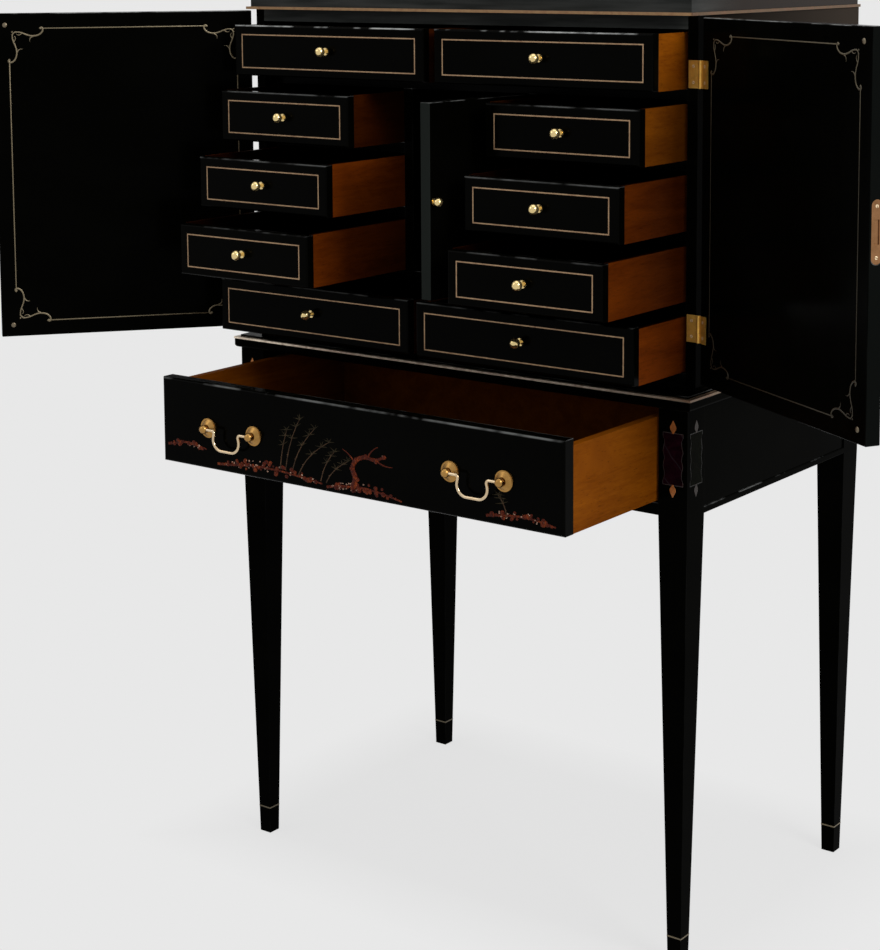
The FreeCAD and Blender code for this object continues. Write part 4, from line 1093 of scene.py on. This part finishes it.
class CABINET_OT_drawer_relief(Operator):
    """Raised rocks, jointed canes and an old stump on the long drawer"""
    bl_idname = "cabinet.drawer_relief"
    bl_label = "Raised work on the long drawer"

    def execute(self, context):
        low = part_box("long_drawer_front")[0]
        lift = Matrix.Translation((0.0, low.z, 0.0))
        drawing = face_matrix((0.0, low.y, 0.0), (0, -1, 0)) @ lift
        rocks, painted_glints, stems, leaves = [], [], [], []
        for seed, (across, level, wide, tall) in enumerate(BANKS):
            rocks += knoll(across, level, wide, tall, 3.7 * seed + 0.4)
            painted_glints += tips(across, level, wide, tall, 2.3 * seed + 1.1, int(wide / PAINTED_GLINT_STEP))
        rocks.append(stroke(STUMP, 0.0105, (1.0, 0.35), 0.30))
        rocks += [stroke(twig, 0.0030, (1.0, 0.3), 0.4) for twig in TWIGS]
        for index, (x, y) in enumerate(STUMP):
            rocks.append(bead(x + 0.0010 * jitter(index), y, 0.0036, 0.5))
            # A pale bead just above each knot of the stump: a painted highlight
            painted_glints.append(bead(x + 0.0020 * jitter(index + 4), y + 0.0016, 0.0011, 0.9))
        for across, level, lean, tall in CANES:
            stem, leaf = cane(across, level, lean, tall)
            stems += stem
            leaves += leaf
        for name, parts, finish in (("drawer_rocks", rocks, "relief"), ("drawer_canes", stems, "twig paint"),
                                    ("drawer_leaves", leaves, "leaf paint"),
                                    ("drawer_touches", painted_glints, "fleck paint")):
            done(placed(joined(parts), drawing), name, finish, "long_drawer")
        return {"FINISHED"}


# Each lamp's place and size; its power is a property of the studio
LAMPS = {"key": ((3.5, -0.95, 2.9), 1.5), "fill": ((-2.6, -3.0, 3.4), 2.2), "top": ((0.1, -0.3, 3.6), 2.2)}


class CABINET_OT_stage(Operator):
    """Pale floor, room light, lamps and the camera"""
    bl_idname = "cabinet.stage"
    bl_label = "Studio and camera"

    def execute(self, context):
        studio, pale = context.scene.cabinet_studio, shade(context.scene.cabinet_finish.floor)
        floor = start_with(bpy.ops.mesh.primitive_circle_add, vertices=128, radius=24.0, fill_type="NGON")
        floor.name = floor.data.name = "studio_floor"
        floor.data.materials.append(floor_finish(pale))
        world = bpy.data.worlds.new("studio")
        context.scene.world = world
        world.use_nodes = True
        tree = world.node_tree
        tree.nodes.clear()
        room = add(tree, "Background", {"Color": (1.0, 1.0, 1.0, 1.0), "Strength": studio.sky})[0]
        back = add(tree, "Background", {"Color": pale, "Strength": 1.0})[0]
        seen = add(tree, "MixShader", {0: seen_rays(tree), 1: room, 2: back})[0]
        add(tree, "OutputWorld", {"Surface": seen})
        for name, (place, size) in LAMPS.items():
            lamp(name + "_lamp", place, size, getattr(studio, name))
        bpy.ops.object.camera_add(location=studio.place, rotation=studio.turn)
        camera = context.active_object
        camera.name = "camera"
        camera.data.sensor_fit = "HORIZONTAL"
        camera.data.sensor_width = 36.0
        camera.data.lens = studio.lens
        camera.data.shift_y = studio.rise
        camera.data.clip_end = 100.0
        context.scene.camera = camera
        context.scene.view_settings.view_transform = "Standard"
        return {"FINISHED"}


def seen_rays(tree):
    """1 where the camera, a mirror or glass looks, 0 for the light itself."""
    path = add(tree, "LightPath")
    looked = maths(tree, "MAXIMUM", path["Is Camera Ray"], path["Is Glossy Ray"])
    return maths(tree, "MAXIMUM", looked, path["Is Transmission Ray"])


def floor_finish(pale):
    """Paper floor: it glows to the background's own tone, and keeps a faint shadow near the object."""
    finish, tree, place = new_finish("studio paper")
    tree.nodes.remove(tree.nodes["Principled BSDF"])
    aside = spread(tree, maths(tree, "ABSOLUTE", part_of(tree, place, "X")), *SHADOW_ACROSS)
    beyond = spread(tree, maths(tree, "ABSOLUTE", part_of(tree, place, "Y")), *SHADOW_DEEP)
    near = between(tree, maths(tree, "MAXIMUM", aside, beyond), SHADOW, 0.0)
    lift = spread(tree, noise(tree, place, 380.0, 3.0), 0.3, 0.7, 0.995, 1.005)
    paper = add(tree, "BsdfDiffuse", {"Color": pale})[0]
    glow = add(tree, "Emission", {"Color": pale, "Strength": lift})[0]
    looked = add(tree, "MixShader", {0: near, 1: glow, 2: paper})[0]
    both = add(tree, "MixShader", {0: seen_rays(tree), 1: paper, 2: looked})[0]
    feed(tree, tree.nodes["Material Output"], {"Surface": both})
    return finish


def lamp(name, place, size, power):
    """A square soft lamp that looks at the middle of the cabinet."""
    aim = Vector((0.0, -0.2, 0.8)) - Vector(place)
    turn = aim.to_track_quat("-Z", "Y").to_euler()
    bpy.ops.object.light_add(type="AREA", radius=1.0, location=place, rotation=turn)
    made = bpy.context.active_object
    made.name = name
    made.data.shape = "SQUARE"
    made.data.size = size
    made.data.energy = power


class VIEW3D_PT_cabinet(Panel):
    """The cabinet's pieces, sizes and colours"""
    bl_label = "Cabinet"
    bl_space_type = "VIEW_3D"
    bl_region_type = "UI"
    bl_category = "Cabinet"

    def draw(self, context):
        layout = self.layout
        for step in STEPS:
            layout.operator(step.bl_idname)
        for group in (context.scene.cabinet_trim, context.scene.cabinet_finish, context.scene.cabinet_studio):
            box = layout.box()
            for name in group.__annotations__:
                box.prop(group, name)


STEPS = (CABINET_OT_finishes, CABINET_OT_drawer_lines, CABINET_OT_door_borders, CABINET_OT_door_studs,
         CABINET_OT_screws, CABINET_OT_foot_bands, CABINET_OT_corner_panels, CABINET_OT_drawer_relief,
         CABINET_OT_stage)
CLASSES = (CabinetTrim, CabinetFinish, CabinetStudio) + STEPS + (VIEW3D_PT_cabinet,)


def register():
    for kind in CLASSES:
        bpy.utils.register_class(kind)
    bpy.types.Scene.cabinet_trim = PointerProperty(type=CabinetTrim)
    bpy.types.Scene.cabinet_finish = PointerProperty(type=CabinetFinish)
    bpy.types.Scene.cabinet_studio = PointerProperty(type=CabinetStudio)


def unregister():
    del bpy.types.Scene.cabinet_studio
    del bpy.types.Scene.cabinet_finish
    del bpy.types.Scene.cabinet_trim
    for kind in reversed(CLASSES):
        bpy.utils.unregister_class(kind)


def main():
    register()
    bpy.ops.cabinet.finishes()
    bpy.ops.cabinet.drawer_lines()
    bpy.ops.cabinet.door_borders()
    bpy.ops.cabinet.door_studs()
    bpy.ops.cabinet.screws()
    bpy.ops.cabinet.foot_bands()
    bpy.ops.cabinet.corner_panels()
    bpy.ops.cabinet.drawer_relief()
    bpy.ops.cabinet.stage()


if __name__ == "__main__":
    main()
